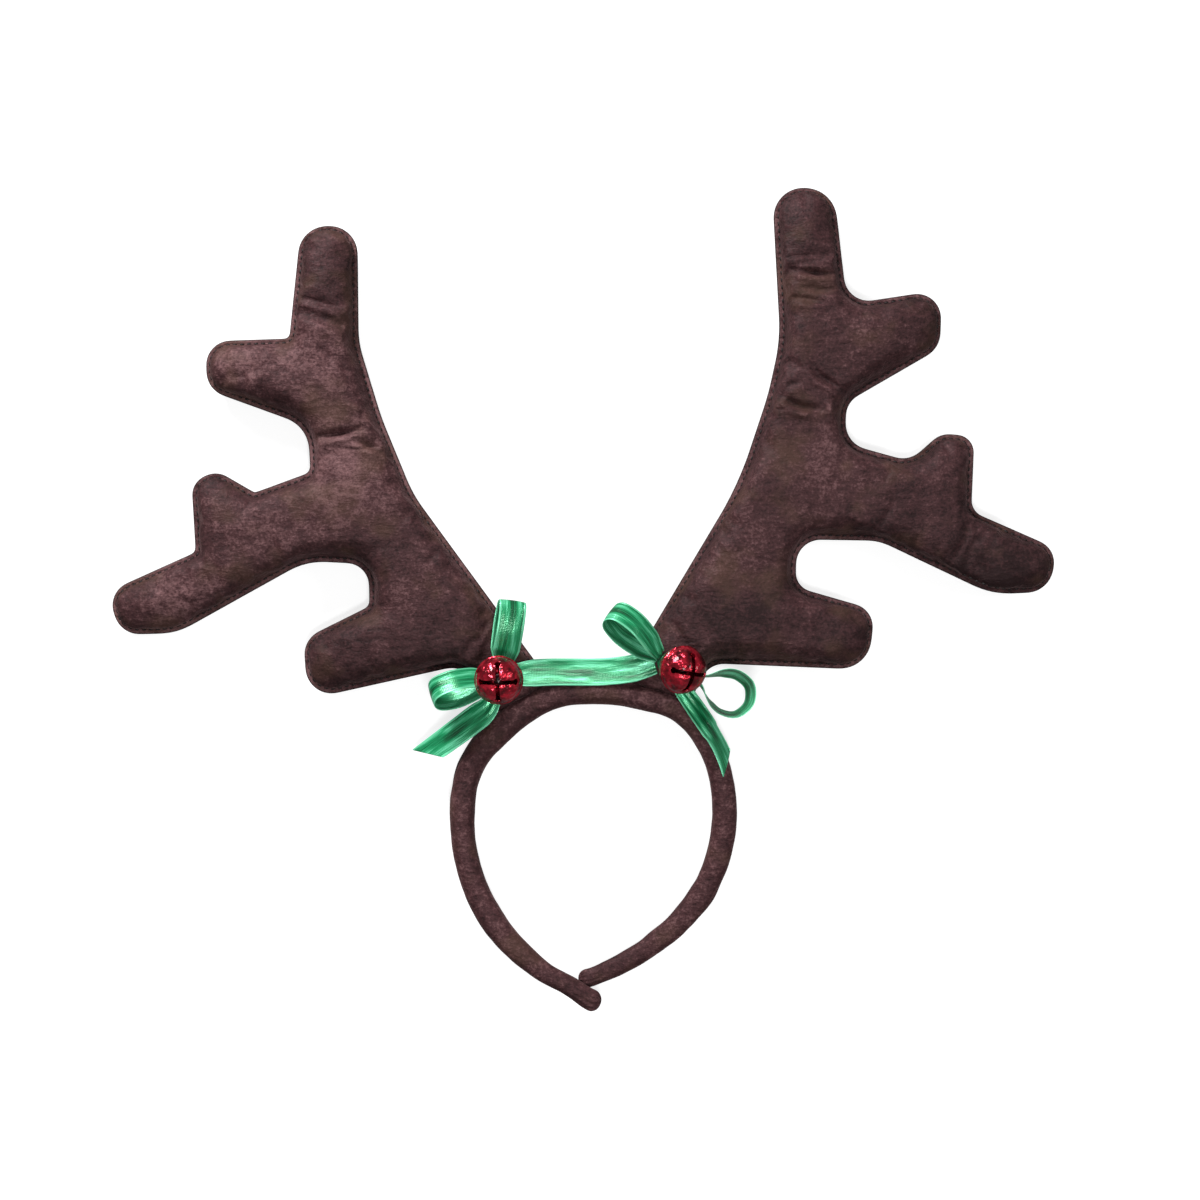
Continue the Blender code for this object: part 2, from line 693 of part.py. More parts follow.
def build_bow(side, knot, collection):
    for part, where, *sizes in LOOPS:
        if where == side:
            bow_loop(part, side, knot, *sizes, collection)
    rings = []
    for height, size in KNOT_LAYERS:
        ring = []
        for i in range(KNOT_SIDES):
            angle = 2.0 * math.pi * (i + 0.5) / KNOT_SIDES
            flat = Vector((math.cos(angle), math.sin(angle), 0.0)) * (KNOT_CORNER * size)
            ring.append(knot + flat + Vector((0.0, 0.0, height * 0.5 * KNOT_DEPTH)))
        rings.append(ring)
    loft(f"bow_{side}_knot", rings, satin(f"bow_{side}_knot_satin"), collection)


def build_left_tail(knot, collection):
    """Hangs down and outwards from the knot, over the edge of the band and beside it."""
    start = beside_knot(knot, STRIP_HEADINGS["left tail"])
    shares = numpy.linspace(0.0, 1.0, STRIP_STATIONS)
    columns = [curve_through(LEFT_TAIL_TABLE, column, shares) * TAIL_LENGTH for column in (2, 3, 4)]
    path = [start + Vector(place) for place in zip(*columns)]
    sides = [Vector((0.62, -0.72, 0.34 - 0.30 * share)) for share in shares]
    widths = [RIBBON_WIDTH * min(1.0, 0.5 + 1.5 * share) for share in shares]
    cut_end(strip("bow_left_tail", path, sides, widths, collection), TAIL_SLANTS["left"])


def build_right_tail(knot, collection):
    """Runs down the outer front corner of the band, leaning on it."""
    start = beside_knot(knot, STRIP_HEADINGS["right tail"])
    first, last = RIGHT_TAIL_TURNS
    path = []
    sides = []
    widths = []
    for share in numpy.linspace(0.0, 1.0, STRIP_STATIONS):
        turn = first + (last - first) * share
        outward = band_outward(turn)
        resting = band_edge(turn, -TAIL_SET_IN)
        resting.z = band_height(turn) + band_half_depth(turn) + GAP
        point = start.lerp(resting, min(1.0, share / 0.40))
        point.z = start.z + (resting.z - start.z) * min(1.0, share / 0.55)
        path.append(point)
        turned = min(1.0, share / 0.50)
        sides.append(outward * (1.0 - 0.4 * turned) + Vector((0.0, 0.0, -0.8 * turned)))
        widths.append(RIBBON_WIDTH * min(1.0, 0.45 + 1.3 * share))
    cut_end(strip("bow_right_tail", path, sides, widths, collection), TAIL_SLANTS["right"])


def build_crown_ribbon(left_knot, right_knot, collection):
    """A strip from knot to knot that leans on the front of the crown."""
    start = beside_knot(left_knot, STRIP_HEADINGS["crown left"])
    end = beside_knot(right_knot, STRIP_HEADINGS["crown right"])
    front = BAND_DEPTH + 0.5 * RIBBON_THICKNESS - 0.1 * GAP
    crown = band_edge(0.0)
    path = []
    widths = []
    for k in range(STRIP_STATIONS):
        share = k / (STRIP_STATIONS - 1)
        point = start.lerp(end, share)
        lean = math.sin(math.pi * share)
        point.z = point.z + (front - point.z) * lean
        point.y = point.y + (crown.y + CROWN_RIBBON_RISE - point.y) * lean
        path.append(point)
        widths.append(RIBBON_WIDTH * min(1.0, 0.62 + 1.9 * min(share, 1.0 - share)))
    sides = [Vector((0.0, 1.0, 0.0))] * STRIP_STATIONS
    strip("crown_ribbon", path, sides, widths, collection)


def cutter(name, mesh, place, collection):
    tool = bpy.data.objects.new(name, mesh)
    tool.matrix_world = place
    tool.hide_render = True
    tool.display_type = "WIRE"
    collection.objects.link(tool)
    return tool


def box_mesh(name, size):
    bm = bmesh.new()
    bmesh.ops.create_cube(bm, size=1.0)
    bmesh.ops.scale(bm, vec=size, verts=bm.verts)
    mesh = bpy.data.meshes.new(name)
    bm.to_mesh(mesh)
    bm.free()
    return mesh


def ball_mesh(name, radius, segments, rings):
    bm = bmesh.new()
    bmesh.ops.create_uvsphere(bm, u_segments=segments, v_segments=rings, radius=radius)
    mesh = bpy.data.meshes.new(name)
    bm.to_mesh(mesh)
    bm.free()
    return mesh


def peg_mesh(name, radius, length):
    bm = bmesh.new()
    bmesh.ops.create_cone(bm, cap_ends=True, segments=10, radius1=radius, radius2=radius, depth=length)
    mesh = bpy.data.meshes.new(name)
    bm.to_mesh(mesh)
    bm.free()
    return mesh


def build_bell(side, seat, axis, spin, collection, tools):
    """A bell whose sewing eye stands on the seat and whose slots face along the axis."""
    eye = 2.0 * (SHANK_RADIUS + SHANK_WIRE_RADIUS)
    centre = seat + axis * (GAP + eye + GAP + BELL_RADIUS)
    turned = axis.to_track_quat("Z", "Y").to_matrix().to_4x4() @ Matrix.Rotation(spin, 4, "Z")
    place = Matrix.Translation(centre) @ turned
    name = f"bell_{side}"
    ball = ball_mesh(name, BELL_RADIUS, 20, 10)
    shell = add_piece(name, ball, red_metal(f"{name}_red_metal"), collection)
    shell.matrix_world = place
    wall = shell.modifiers.new("wall", "SOLIDIFY")
    wall.thickness = BELL_WALL
    wall.offset = -1.0
    spread = BELL_RADIUS * math.sin(SLOT_SPREAD)
    low = BELL_RADIUS * math.cos(SLOT_SPREAD)
    tall = 1.2 * BELL_RADIUS - low
    for k in range(2):
        mesh = box_mesh(f"{name}_slot_{k}", (2.0 * spread, SLOT_WIDTH, tall))
        quarter = Matrix.Rotation(0.5 * math.pi * k, 4, "Z")
        where = place @ quarter @ Matrix.Translation((0.0, 0.0, low + 0.5 * tall))
        cut_with(shell, cutter(f"{name}_slot_{k}", mesh, where, tools))
    for k in range(4):
        tilt = Matrix.Rotation(0.5 * math.pi * k, 4, "Z") @ Matrix.Rotation(SLOT_SPREAD, 4, "Y")
        where = place @ tilt @ Matrix.Translation((0, 0, BELL_RADIUS))
        mesh = peg_mesh(f"{name}_hole_{k}", SLOT_HOLE_RADIUS, 0.5 * BELL_RADIUS)
        cut_with(shell, cutter(f"{name}_hole_{k}", mesh, where, tools))
    add_shank(name, place @ Matrix.Translation((0.0, 0.0, -BELL_RADIUS - GAP - 0.5 * eye)), collection)
    add_pellet(name, centre, collection)


def add_shank(name, place, collection):
    """The sewing eye behind a bell."""
    bpy.ops.mesh.primitive_torus_add(
        major_radius=SHANK_RADIUS, minor_radius=SHANK_WIRE_RADIUS, major_segments=14, minor_segments=6)
    shank = bpy.context.object
    shank.name = f"{name}_shank"
    shank.data.name = shank.name
    shank.data.materials.append(brass(f"{name}_shank_brass"))
    for holder in list(shank.users_collection):
        holder.objects.unlink(shank)
    collection.objects.link(shank)
    shank.matrix_world = place @ Matrix.Rotation(0.5 * math.pi, 4, "X")


def add_pellet(name, centre, collection):
    """The loose pellet, which lies on the lowest side of the bell's inside."""
    pellet_name = f"{name}_pellet"
    ball = ball_mesh(pellet_name, PELLET_RADIUS, 12, 8)
    pellet = add_piece(pellet_name, ball, steel(f"{pellet_name}_steel"), collection)
    drop = BELL_RADIUS - BELL_WALL - PELLET_RADIUS - 2.0 * GAP
    pellet.location = centre - Vector((0.0, 0.0, drop))


def cut_with(piece, tool):
    cut = piece.modifiers.new(tool.name, "BOOLEAN")
    cut.operation = "DIFFERENCE"
    cut.solver = "EXACT"
    cut.object = tool


def centre_on_origin(collections):
    """Moves everything so that the origin is under the middle of the headband."""
    depsgraph = bpy.context.evaluated_depsgraph_get()
    low = Vector((1.0, 1.0))
    high = Vector((-1.0, -1.0))
    for piece in collections[0].objects:
        for corner in piece.evaluated_get(depsgraph).bound_box:
            place = piece.matrix_world @ Vector(corner)
            low = Vector((min(low.x, place.x), min(low.y, place.y)))
            high = Vector((max(high.x, place.x), max(high.y, place.y)))
    middle = (low + high) / 2
    for collection in collections:
        for piece in collection.objects:
            piece.location -= Vector((middle.x, middle.y, 0.0))


def main():
    for old in list(bpy.data.objects):
        bpy.data.objects.remove(old, do_unlink=True)
    parts = fresh_collection("reindeer_antler_headband")
    tools = fresh_collection("cutting_tools")
    build_band(parts)
    knots = {}
    for side in ("left", "right"):
        panel = Panel(side)
        front = panel.build("front", 1.0, PUFF, parts)
        panel.build("back", -1.0, 0.5 * BAND_DEPTH - 0.5 * GAP - FELT, parts)
        bpy.context.view_layer.update()
        inner, outer = FOOT_TURNS[side]
        place = band_edge(inner + (outer - inner) * KNOT_SHARES[side], KNOT_RISE)
        top = top_over(front, place, 0.5 * KNOT_WIDTH)
        place.z = top + GAP + 0.5 * KNOT_DEPTH
        knots[side] = place
        build_bow(side, place, parts)
    build_left_tail(knots["left"], parts)
    build_right_tail(knots["right"], parts)
    build_crown_ribbon(knots["left"], knots["right"], parts)
    face = Vector((0.0, 0.0, 0.5 * KNOT_DEPTH))
    for side, knot in knots.items():
        axis = Vector(BELL_AXES[side]).normalized()
        build_bell(side, knot + face, axis, BELL_SPINS[side], parts, tools)
    bpy.context.view_layer.update()
    centre_on_origin((parts, tools))


main()
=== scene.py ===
# %% [markdown]
# # Reindeer antler headband
# A padded hair band carries two stuffed felt antlers. Green satin ribbon runs along the crown between
# two bows, and a red jingle bell sits on each bow. The plain solids come in as a fixed frame, and every
# soft or shiny piece is made again here with the detail that the real one has. Lengths are in metres:
# +Y is up the antlers, +Z points out of the front, and the headband lies on its back on z = 0.

# %% Load the frame
import math

import bmesh
import bpy
import numpy
from mathutils import Matrix, Vector, noise
from mathutils.bvhtree import BVHTree
from mathutils.geometry import delaunay_2d_cdt


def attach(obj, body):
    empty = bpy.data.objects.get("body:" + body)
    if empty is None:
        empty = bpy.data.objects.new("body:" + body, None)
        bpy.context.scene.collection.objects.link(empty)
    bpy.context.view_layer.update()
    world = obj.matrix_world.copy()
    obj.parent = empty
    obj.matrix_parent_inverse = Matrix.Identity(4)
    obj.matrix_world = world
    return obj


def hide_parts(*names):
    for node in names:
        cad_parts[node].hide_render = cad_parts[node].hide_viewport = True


MM = 0.001
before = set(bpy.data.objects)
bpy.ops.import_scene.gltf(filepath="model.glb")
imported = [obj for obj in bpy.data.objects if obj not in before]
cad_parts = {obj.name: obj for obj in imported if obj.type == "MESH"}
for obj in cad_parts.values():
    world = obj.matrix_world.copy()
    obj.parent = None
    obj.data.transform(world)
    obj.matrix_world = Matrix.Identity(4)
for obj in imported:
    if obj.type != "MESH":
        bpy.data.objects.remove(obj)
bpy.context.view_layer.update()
print("nodes in the frame:", len(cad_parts))

# %% [markdown]
# ## Camera
# The photograph looks straight at the front of the headband, and the headband lies on its back, so the
# camera looks straight down. A long lens from 1.25 m keeps the perspective as weak as in a product
# photograph. The helper `spot` turns a place in the 1200 pixel wide photograph into a place on the
# headband at a given height: what stands closer to the lens looks larger.

# %% Camera
PHOTO_WIDTH = 1200
PIXEL = 0.00044
LENS = 85.0
SENSOR = 36.0
AIM = Vector((0.00735, -0.00083, 0.012))
CAMERA_DISTANCE = PHOTO_WIDTH * PIXEL * LENS / SENSOR

camera_data = bpy.data.cameras.new("camera")
camera_data.lens = LENS
camera_data.sensor_width = SENSOR
camera_data.clip_start = 0.01
camera = bpy.data.objects.new("camera", camera_data)
bpy.context.scene.collection.objects.link(camera)
camera.location = AIM + Vector((0.0, 0.0, CAMERA_DISTANCE))
bpy.context.scene.camera = camera


def spot(right, down, height):
    """A place in the photograph, brought to a height above the floor."""
    shrink = (CAMERA_DISTANCE - (height - AIM.z)) / CAMERA_DISTANCE
    x = AIM.x + (right - PHOTO_WIDTH / 2) * PIXEL * shrink
    y = AIM.y + (PHOTO_WIDTH / 2 - down) * PIXEL * shrink
    return Vector((x, y, height))


print("camera height in mm:", round(camera.location.z / MM))

# %% [markdown]
# ## Floor and light
# The headband lies on plain white card that glows a little, so that it stays white in the picture. A
# weak white sky fills the shadows. Three soft boxes show the padding, the folds and the satin: a strong
# one low beyond the antlers' tips, a weak one at the right and a weak one in front of the bells.

# %% Floor, sky and lamps
bpy.context.scene.view_settings.view_transform = "Standard"


def lamp(name, place, size, watts):
    """A square soft box that points at the middle of the headband."""
    data = bpy.data.lights.new(name, "AREA")
    data.size = size
    data.energy = watts
    light = bpy.data.objects.new(name, data)
    bpy.context.scene.collection.objects.link(light)
    light.location = place
    light.rotation_euler = (AIM - light.location).to_track_quat("-Z", "Y").to_euler()


# name, place, size, watts
LAMPS = (
    ("soft_box_beyond_tips", (-0.42, 0.80, 0.46), 0.30, 17.0),
    ("soft_box_right", (1.0, 0.2, 0.7), 0.25, 3.5),
    ("soft_box_front", (0.05, -0.25, 0.95), 0.16, 4.5),
)
for row in LAMPS:
    lamp(*row)
sky = bpy.data.worlds.new("studio")
sky.use_nodes = True
sky.node_tree.nodes["Background"].inputs["Color"].default_value = (1.0, 1.0, 1.0, 1.0)
sky.node_tree.nodes["Background"].inputs["Strength"].default_value = 0.22
bpy.context.scene.world = sky

bpy.ops.object.select_all(action="DESELECT")
bpy.ops.mesh.primitive_plane_add(size=6.0, location=(0.0, 0.0, -0.0002))
floor = bpy.context.object
floor.name = "floor"
floor.visible_diffuse = False
floor.visible_glossy = False
print("lamps:", len(LAMPS))

# %% [markdown]
# ## Writing materials as sums
# A material is a small network of nodes. `Signal` wraps the output of a node so that two of them can be
# added or multiplied like numbers, and `Finish.node` adds any other node from its type, its settings
# and its inputs. Colours are mixed with Mix nodes, because a Math node would turn them grey.

# %% A class for signals and one for finishes


class Signal:
    """The output of a node, ready for sums."""

    def __init__(self, finish, socket):
        self.finish = finish
        self.socket = socket

    def __add__(self, other):
        return self.finish.math("ADD", self, other)

    def __radd__(self, other):
        return self.finish.math("ADD", other, self)

    def __sub__(self, other):
        return self.finish.math("SUBTRACT", self, other)

    def __rsub__(self, other):
        return self.finish.math("SUBTRACT", other, self)

    def __mul__(self, other):
        return self.finish.math("MULTIPLY", self, other)


class Finish:
    """A material under construction, around one Principled shader."""

    def __init__(self, name, **constants):
        self.material = bpy.data.materials.new(name)
        self.material.use_nodes = True
        self.nodes = self.material.node_tree.nodes
        self.links = self.material.node_tree.links
        self.shader = self.nodes["Principled BSDF"]
        for words, value in constants.items():
            self.feed(self.shader.inputs[words.replace("_", " ").title().replace("Ior", "IOR")], value)

    def feed(self, socket, value):
        if isinstance(value, Signal):
            self.links.new(value.socket, socket)
        elif isinstance(value, tuple) and len(value) == 3 and socket.type == "RGBA":
            socket.default_value = (*value, 1.0)
        else:
            socket.default_value = value

    def node(self, kind, settings=None, inputs=None, output=0):
        made = self.nodes.new(kind)
        for name, setting in (settings or {}).items():
            setattr(made, name, setting)
        for name, value in (inputs or {}).items():
            self.feed(made.inputs[name], value)
        return Signal(self, made.outputs[output])

    def math(self, operation, *values):
        return self.node("ShaderNodeMath", {"operation": operation}, dict(enumerate(values)))

    def place(self):
        return self.node("ShaderNodeTexCoord", output="Object")

    def written(self, name):
        """The value of an attribute of the mesh."""
        return self.node("ShaderNodeAttribute", {"attribute_name": name}, output="Fac")

    def ramp(self, tone, *stops):
        """Colours for the tones from dark to light, each stop a tone and its colour."""
        coloured = self.node("ShaderNodeValToRGB", inputs={"Fac": tone})
        elements = coloured.socket.node.color_ramp.elements
        elements.remove(elements[1])
        elements[0].position = stops[0][0]
        elements[0].color = (*stops[0][1], 1.0)
        for stop, colour in stops[1:]:
            elements.new(stop).color = (*colour, 1.0)
        return coloured

    def noise(self, place, scale, detail, roughness=0.5):
        inputs = {"Vector": place, "Scale": scale, "Detail": detail, "Roughness": roughness}
        return self.node("ShaderNodeTexNoise", inputs=inputs)

    def speckle(self, place, size, detail=2.0, roughness=0.5):
        """Soft noise whose patches are about `size` metres across."""
        return self.noise(place, 1.0 / size, detail, roughness)

    def blend(self, share, first, second):
        return self.node("ShaderNodeMix", {"data_type": "RGBA"}, {0: share, 6: first, 7: second}, output=2)

    def ease(self, signal, low, high, start=0.0, end=1.0):
        """A signal that rises smoothly from start to end as another goes from low to high."""
        settings = {"interpolation_type": "SMOOTHSTEP"}
        inputs = {"Value": signal, "From Min": low, "From Max": high, "To Min": start, "To Max": end}
        return self.node("ShaderNodeMapRange", settings, inputs)

    def surface(self, colour=None, roughness=None, relief=None, depth=0.0, strength=1.0):
        """Feeds the shader. depth: height of the relief in metres where its signal changes by one."""
        bump = {"Height": relief, "Distance": depth, "Strength": strength}
        normal = self.node("ShaderNodeBump", inputs=bump)
        for name, value in (("Base Color", colour), ("Roughness", roughness), ("Normal", normal)):
            if value is not None:
                self.feed(self.shader.inputs[name], value)
        return self.material


card = Finish("white_card", base_color=(0.42, 0.42, 0.42), roughness=0.9,
              emission_color=(1.0, 1.0, 1.0), emission_strength=0.74)
grain = card.speckle(card.place(), 0.004)
floor.data.materials.append(card.surface(relief=grain, depth=0.0001, strength=0.3))
print("materials so far:", len(bpy.data.materials))

# %% [markdown]
# ## Felt
# The antlers and the band are covered with a thin brushed felt. Close up it is a mat of short fibres,
# with brushed streaks, flecks of a few millimetres and cloudy patches of a few centimetres where the
# nap lies the other way. Four noises make those, a weak sheen lights the fibres that stand against the
# light, and a fine relief breaks up the surface. Three attributes written on the mesh paint light and
# shade into the colour. One holds painted light and painted shade over broad patches, the folds and the
# needle line, and two paint shade along the needle groove and along the cut edge.

# %% The felt finish


def felt(name, painted_lightness=1.0):
    finish = Finish(name, sheen_weight=0.10, sheen_roughness=0.4, sheen_tint=(0.9, 0.52, 0.52),
                    specular_ior_level=0.16)
    place = finish.place()
    clouds = finish.speckle(place, 0.030, 2.0, 0.5)
    flecks = finish.speckle(place, 0.0042, 4.0, 0.7)
    fibres = finish.speckle(place, 0.0012, 2.0, 0.7)
    brushed = finish.node("ShaderNodeVectorMath", {"operation": "MULTIPLY"},
                          {0: place, 1: (0.35, 1.0, 1.0)})
    creases = finish.speckle(brushed, 0.0019, 3.0, 0.6)
    # the attribute read last adds painted light and painted shade to the felt's tone
    tone = clouds * 0.30 + flecks * 0.36 + fibres * 0.36 + creases * 0.20 + finish.written("felt_tone_and_painted_light")
    browns = ((0.013, 0.0042, 0.0046), (0.044, 0.0165, 0.0180), (0.145, 0.072, 0.074))
    # a lightness above 1 paints light into a copy of the same felt
    browns = [tuple(painted_lightness * v for v in brown) for brown in browns]
    # the felt's browns, with painted light and painted shade carried in the tone
    felt_tone_and_painted_light = finish.ramp(tone, *zip((0.46, 0.62, 0.80), browns))
    warm = finish.speckle(place, 0.018, 2.0)
    felt_tone_and_painted_light = finish.blend(finish.ease(warm, 0.48, 0.70, 0.0, 0.40), felt_tone_and_painted_light, (0.062, 0.032, 0.019))
    # painted shade: the felt is darkened along the needle groove and along the cut edge with the groove
    # between the two sheets
    for name, low, high, most in (("seam", 0.3, 1.0, 0.12), ("edge", 0.2, 0.9, 0.85)):
        share = finish.ease(finish.written(name), low, high, 0.0, most)
        felt_tone_and_painted_light = finish.blend(share, felt_tone_and_painted_light, (0.012, 0.007, 0.007))
    return finish.surface(felt_tone_and_painted_light, 0.78 - creases * 0.25, fibres * 0.5 + flecks * 0.8 + creases * 0.9, 0.00062)


antler_felt = felt("antler_felt")
# the band's sleeve is the same felt as the antlers, painted 18% lighter as painted light
band_felt = felt("band_felt", 1.18)
print("felt finishes:", antler_felt.name, band_felt.name)

# %% [markdown]
# ## The antlers' pattern
# Each antler is two felt panels cut to one outline, sewn together 2 mm inside the cut edge and stuffed
# through the foot. The outline is a short table of corners, each with a rounding, as a pattern maker
# would draw it: shares of the antler's reach and rise from the middle of its foot.

# %% Corners of the two patterns
ANTLER_REACH = 0.182
ANTLER_RISE = 0.207
TINE_WIDTH = 0.0245
MIDDLE_PLANE = 0.009

FEET = {
    "left": {"middle": (-0.02809, -0.04286), "inner": (-0.01433, -0.03722), "outer": (-0.03945, -0.05110)},
    "right": {"middle": (0.03127, -0.03912), "inner": (0.01680, -0.03628), "outer": (0.04715, -0.04568)},
}
# corner, out in shares of the reach, up in shares of the rise, rounding in tine widths
OUTLINES = {
    "left": (
        ("beam low", 0.258, 0.428, 1.80),
        ("beam middle", 0.335, 0.592, 3.60),
        ("beam high", 0.390, 0.751, 1.30),
        ("top tine inner", 0.393, 1.000, 0.50),
        ("top tine outer", 0.530, 1.000, 0.52),
        ("crotch below top tine", 0.558, 0.760, 0.10),
        ("second tine upper", 0.761, 0.754, 0.52),
        ("second tine lower", 0.758, 0.651, 0.46),
        ("bay upper", 0.513, 0.573, 0.62),
        ("bay lower", 0.507, 0.475, 0.15),
        ("valley", 0.642, 0.432, 0.07),
        ("spur inner", 0.734, 0.479, 0.40),
        ("spur outer", 0.795, 0.454, 0.42),
        ("spur foot", 0.785, 0.305, 0.10),
        ("long tine upper", 1.000, 0.220, 0.44),
        ("long tine lower", 0.966, 0.129, 0.46),
        ("long tine under", 0.831, 0.132, 1.10),
        ("lower bay outer", 0.517, 0.286, 1.10),
        ("lower bay corner", 0.366, 0.279, 0.88),
        ("lower bay foot", 0.364, 0.190, 0.15),
        ("brow tine upper", 0.524, 0.120, 0.46),
        ("brow tine lower", 0.514, -0.009, 0.54),
        ("lower edge", 0.130, 0.066, 0.50),
    ),
    "right": (
        ("beam low", 0.203, 0.430, 4.50),
        ("beam middle", 0.276, 0.623, 3.60),
        ("beam high", 0.305, 0.740, 2.20),
        ("top tine inner", 0.285, 1.063, 0.60),
        ("top tine outer", 0.435, 1.063, 0.58),
        ("crotch below top tine", 0.467, 0.815, 0.44),
        ("second tine upper", 0.698, 0.846, 0.50),
        ("second tine lower", 0.692, 0.721, 0.48),
        ("bay upper", 0.466, 0.606, 0.42),
        ("bay lower", 0.462, 0.519, 0.52),
        ("valley", 0.618, 0.481, 0.46),
        ("spur inner", 0.694, 0.540, 0.42),
        ("spur outer", 0.776, 0.534, 0.38),
        ("spur foot", 0.768, 0.374, 0.30),
        ("long tine upper", 0.976, 0.294, 0.42),
        ("long tine lower", 0.957, 0.202, 0.56),
        ("long tine under", 0.818, 0.197, 1.30),
        ("lower bay outer", 0.545, 0.311, 0.90),
        ("lower bay corner", 0.346, 0.314, 0.84),
        ("lower bay foot", 0.342, 0.213, 0.34),
        ("brow tine upper", 0.535, 0.164, 0.42),
        ("brow tine lower", 0.518, 0.036, 0.56),
        ("lower edge", 0.133, 0.050, 0.43),
    ),
}


def pattern_corners(side):
    """Corners of the cut edge with their rounding, closed along the foot by the last edge."""
    foot = Vector(FEET[side]["middle"])
    away = 1.0 if side == "right" else -1.0
    corners = [(Vector(FEET[side]["inner"]), 0.0)]
    for _, out, up, rounding in OUTLINES[side]:
        place = foot + Vector((away * out * ANTLER_REACH, up * ANTLER_RISE))
        corners.append((place, rounding * TINE_WIDTH))
    corners.append((Vector(FEET[side]["outer"]), 0.0))
    return corners


for side in OUTLINES:
    print(side, "pattern has", len(pattern_corners(side)), "corners")

# %% [markdown]
# Rings inside the cut edge follow it: the flange, the needle line and the start of the padding. Moving
# every corner inwards by the inset, and shrinking or growing its rounding by the same length, gives
# each ring. A ring is then drawn as straight runs and arcs, with points about 2 mm apart.

# %% Rings inside the cut edge
RING_STEP = 0.0024
ARC_LENGTH = 0.0015
ARC_TURN = math.radians(11)


def cross_2d(a, b):
    return a.x * b.y - a.y * b.x


def inset_corners(corners, inset):
    """The corners moved in by an inset, with the foot's edge kept where it is."""
    count = len(corners)
    area = sum(cross_2d(corners[i - 1][0], corners[i][0]) for i in range(count))
    facing = 1.0 if area > 0 else -1.0
    moved = []
    for i, (place, rounding) in enumerate(corners):
        before = (place - corners[i - 1][0]).normalized()
        after = (corners[(i + 1) % count][0] - place).normalized()
        turn = cross_2d(before, after)
        shift_before = 0.0 if i == 0 else inset
        shift_after = 0.0 if i == count - 1 else inset
        start = place + Vector((-before.y, before.x)) * facing * shift_before
        target = place + Vector((-after.y, after.x)) * facing * shift_after
        along = cross_2d(target - start, after) / turn
        radius = rounding - inset if turn * facing > 0 else rounding + inset
        moved.append((start + before * along, max(radius, 0.0) if rounding else 0.0))
    return moved


def draw_ring(corners):
    """Points along straight runs and corner arcs, from the first corner to the last."""
    points = []
    for i, (place, radius) in enumerate(corners):
        arc = [place]
        if radius > 0.0:
            before = corners[i - 1][0] - place
            after = corners[(i + 1) % len(corners)][0] - place
            opening = before.angle(after)
            reach = min(radius / math.tan(opening / 2), before.length / 2, after.length / 2)
            start = place + before.normalized() * reach
            end = place + after.normalized() * reach
            middle = (before.normalized() + after.normalized()).normalized()
            centre = place + middle * (reach / math.cos(opening / 2))
            sweep = (start - centre).angle_signed(end - centre)
            length = abs(sweep) * (start - centre).length
            pieces = max(2, math.ceil(min(abs(sweep) / ARC_TURN, length / ARC_LENGTH)))
            turns = [Matrix.Rotation(-sweep * k / pieces, 2) for k in range(pieces + 1)]
            arc = [centre + turned @ (start - centre) for turned in turns]
        if points:
            gap = arc[0] - points[-1]
            cuts = math.ceil(gap.length / RING_STEP)
            start = points[-1]
            points.extend(start + gap * (k / cuts) for k in range(1, cuts))
            if gap.length < 1e-5:
                arc = arc[1:]
        points.extend(arc)
    return points


for side in OUTLINES:
    ring = draw_ring(pattern_corners(side))
    length = sum((b - a).length for a, b in zip(ring, ring[1:]))
    print(side, "cut edge in mm:", round(length / MM), "points:", len(ring))

# %% [markdown]
# ## Folds
# The stuffing pulls some tines back and the felt buckles there: four folds lie across the right
# antler's top tine and a few run over both beams. Each fold is a narrow valley with a soft ridge
# beside it. Broad patches of painted light and painted shade are set where the felt looks lighter or
# darker.

# %% Folds and painted light patches
# side, pixel right, pixel down, heading in degrees, half length mm, half width mm, depth mm
FOLDS = (
    ("right", 812, 271, -5, 16, 1.5, 2.4),
    ("right", 806, 262, 6, 10, 1.3, 1.0),
    ("right", 818, 289, 3, 13, 1.6, 1.3),
    ("right", 802, 301, -6, 12, 1.7, 1.8),
    ("right", 826, 380, -48, 12, 1.8, 2.3),
    ("right", 800, 404, -22, 13, 1.8, 2.5),
    ("right", 836, 408, -62, 9, 1.5, 1.5),
    ("right", 790, 388, 30, 7, 1.6, 1.2),
    ("left", 328, 319, -17, 20, 2.5, 1.9),
    ("left", 336, 434, 6, 16, 1.6, 2.7),
    ("left", 368, 446, -30, 11, 1.6, 1.4),
    ("left", 345, 372, -55, 9, 1.7, 1.1),
    ("left", 326, 356, -35, 8, 1.6, 0.8),
    ("left", 362, 405, -40, 9, 1.6, 1.2),
    ("left", 240, 374, 14, 12, 2.0, 0.7),
)
RIDGE = 0.5


def across_fold(fold, places):
    """Where places lie on a fold: along it in half lengths, and across it in half widths."""
    _, right, down, heading, length, width, _ = fold
    angle = math.radians(heading)
    along = numpy.array((math.cos(angle), math.sin(angle)))
    across = numpy.array((-along[1], along[0]))
    offset = numpy.array(places, float) - numpy.array(spot(right, down, 0.018).to_2d())
    a = offset @ along / (length * MM)
    b = offset @ across / (width * MM)
    return a, b + 0.55 * numpy.sin(2.2 * a + right) + 0.2 * numpy.sin(5.1 * a + down)


def fold_depth(side, places):
    """How far the folds push the front of a panel in, with a ridge below each valley."""
    depth = numpy.zeros(len(places))
    for fold in FOLDS:
        if fold[0] == side:
            a, b = across_fold(fold, places)
            shape = numpy.exp(-(b**2)) - RIDGE * numpy.exp(-((b + 1.9) ** 2))
            depth += fold[-1] * MM * numpy.clip(1.0 - a**2, 0.0, 1.0) ** 1.5 * shape
    return depth


def near_fold(side, places):
    near = numpy.zeros(len(places), bool)
    for fold in FOLDS:
        if fold[0] == side:
            a, b = across_fold(fold, places)
            near |= (abs(a) < 1.2) & (abs(b) < 3.2)
    return near
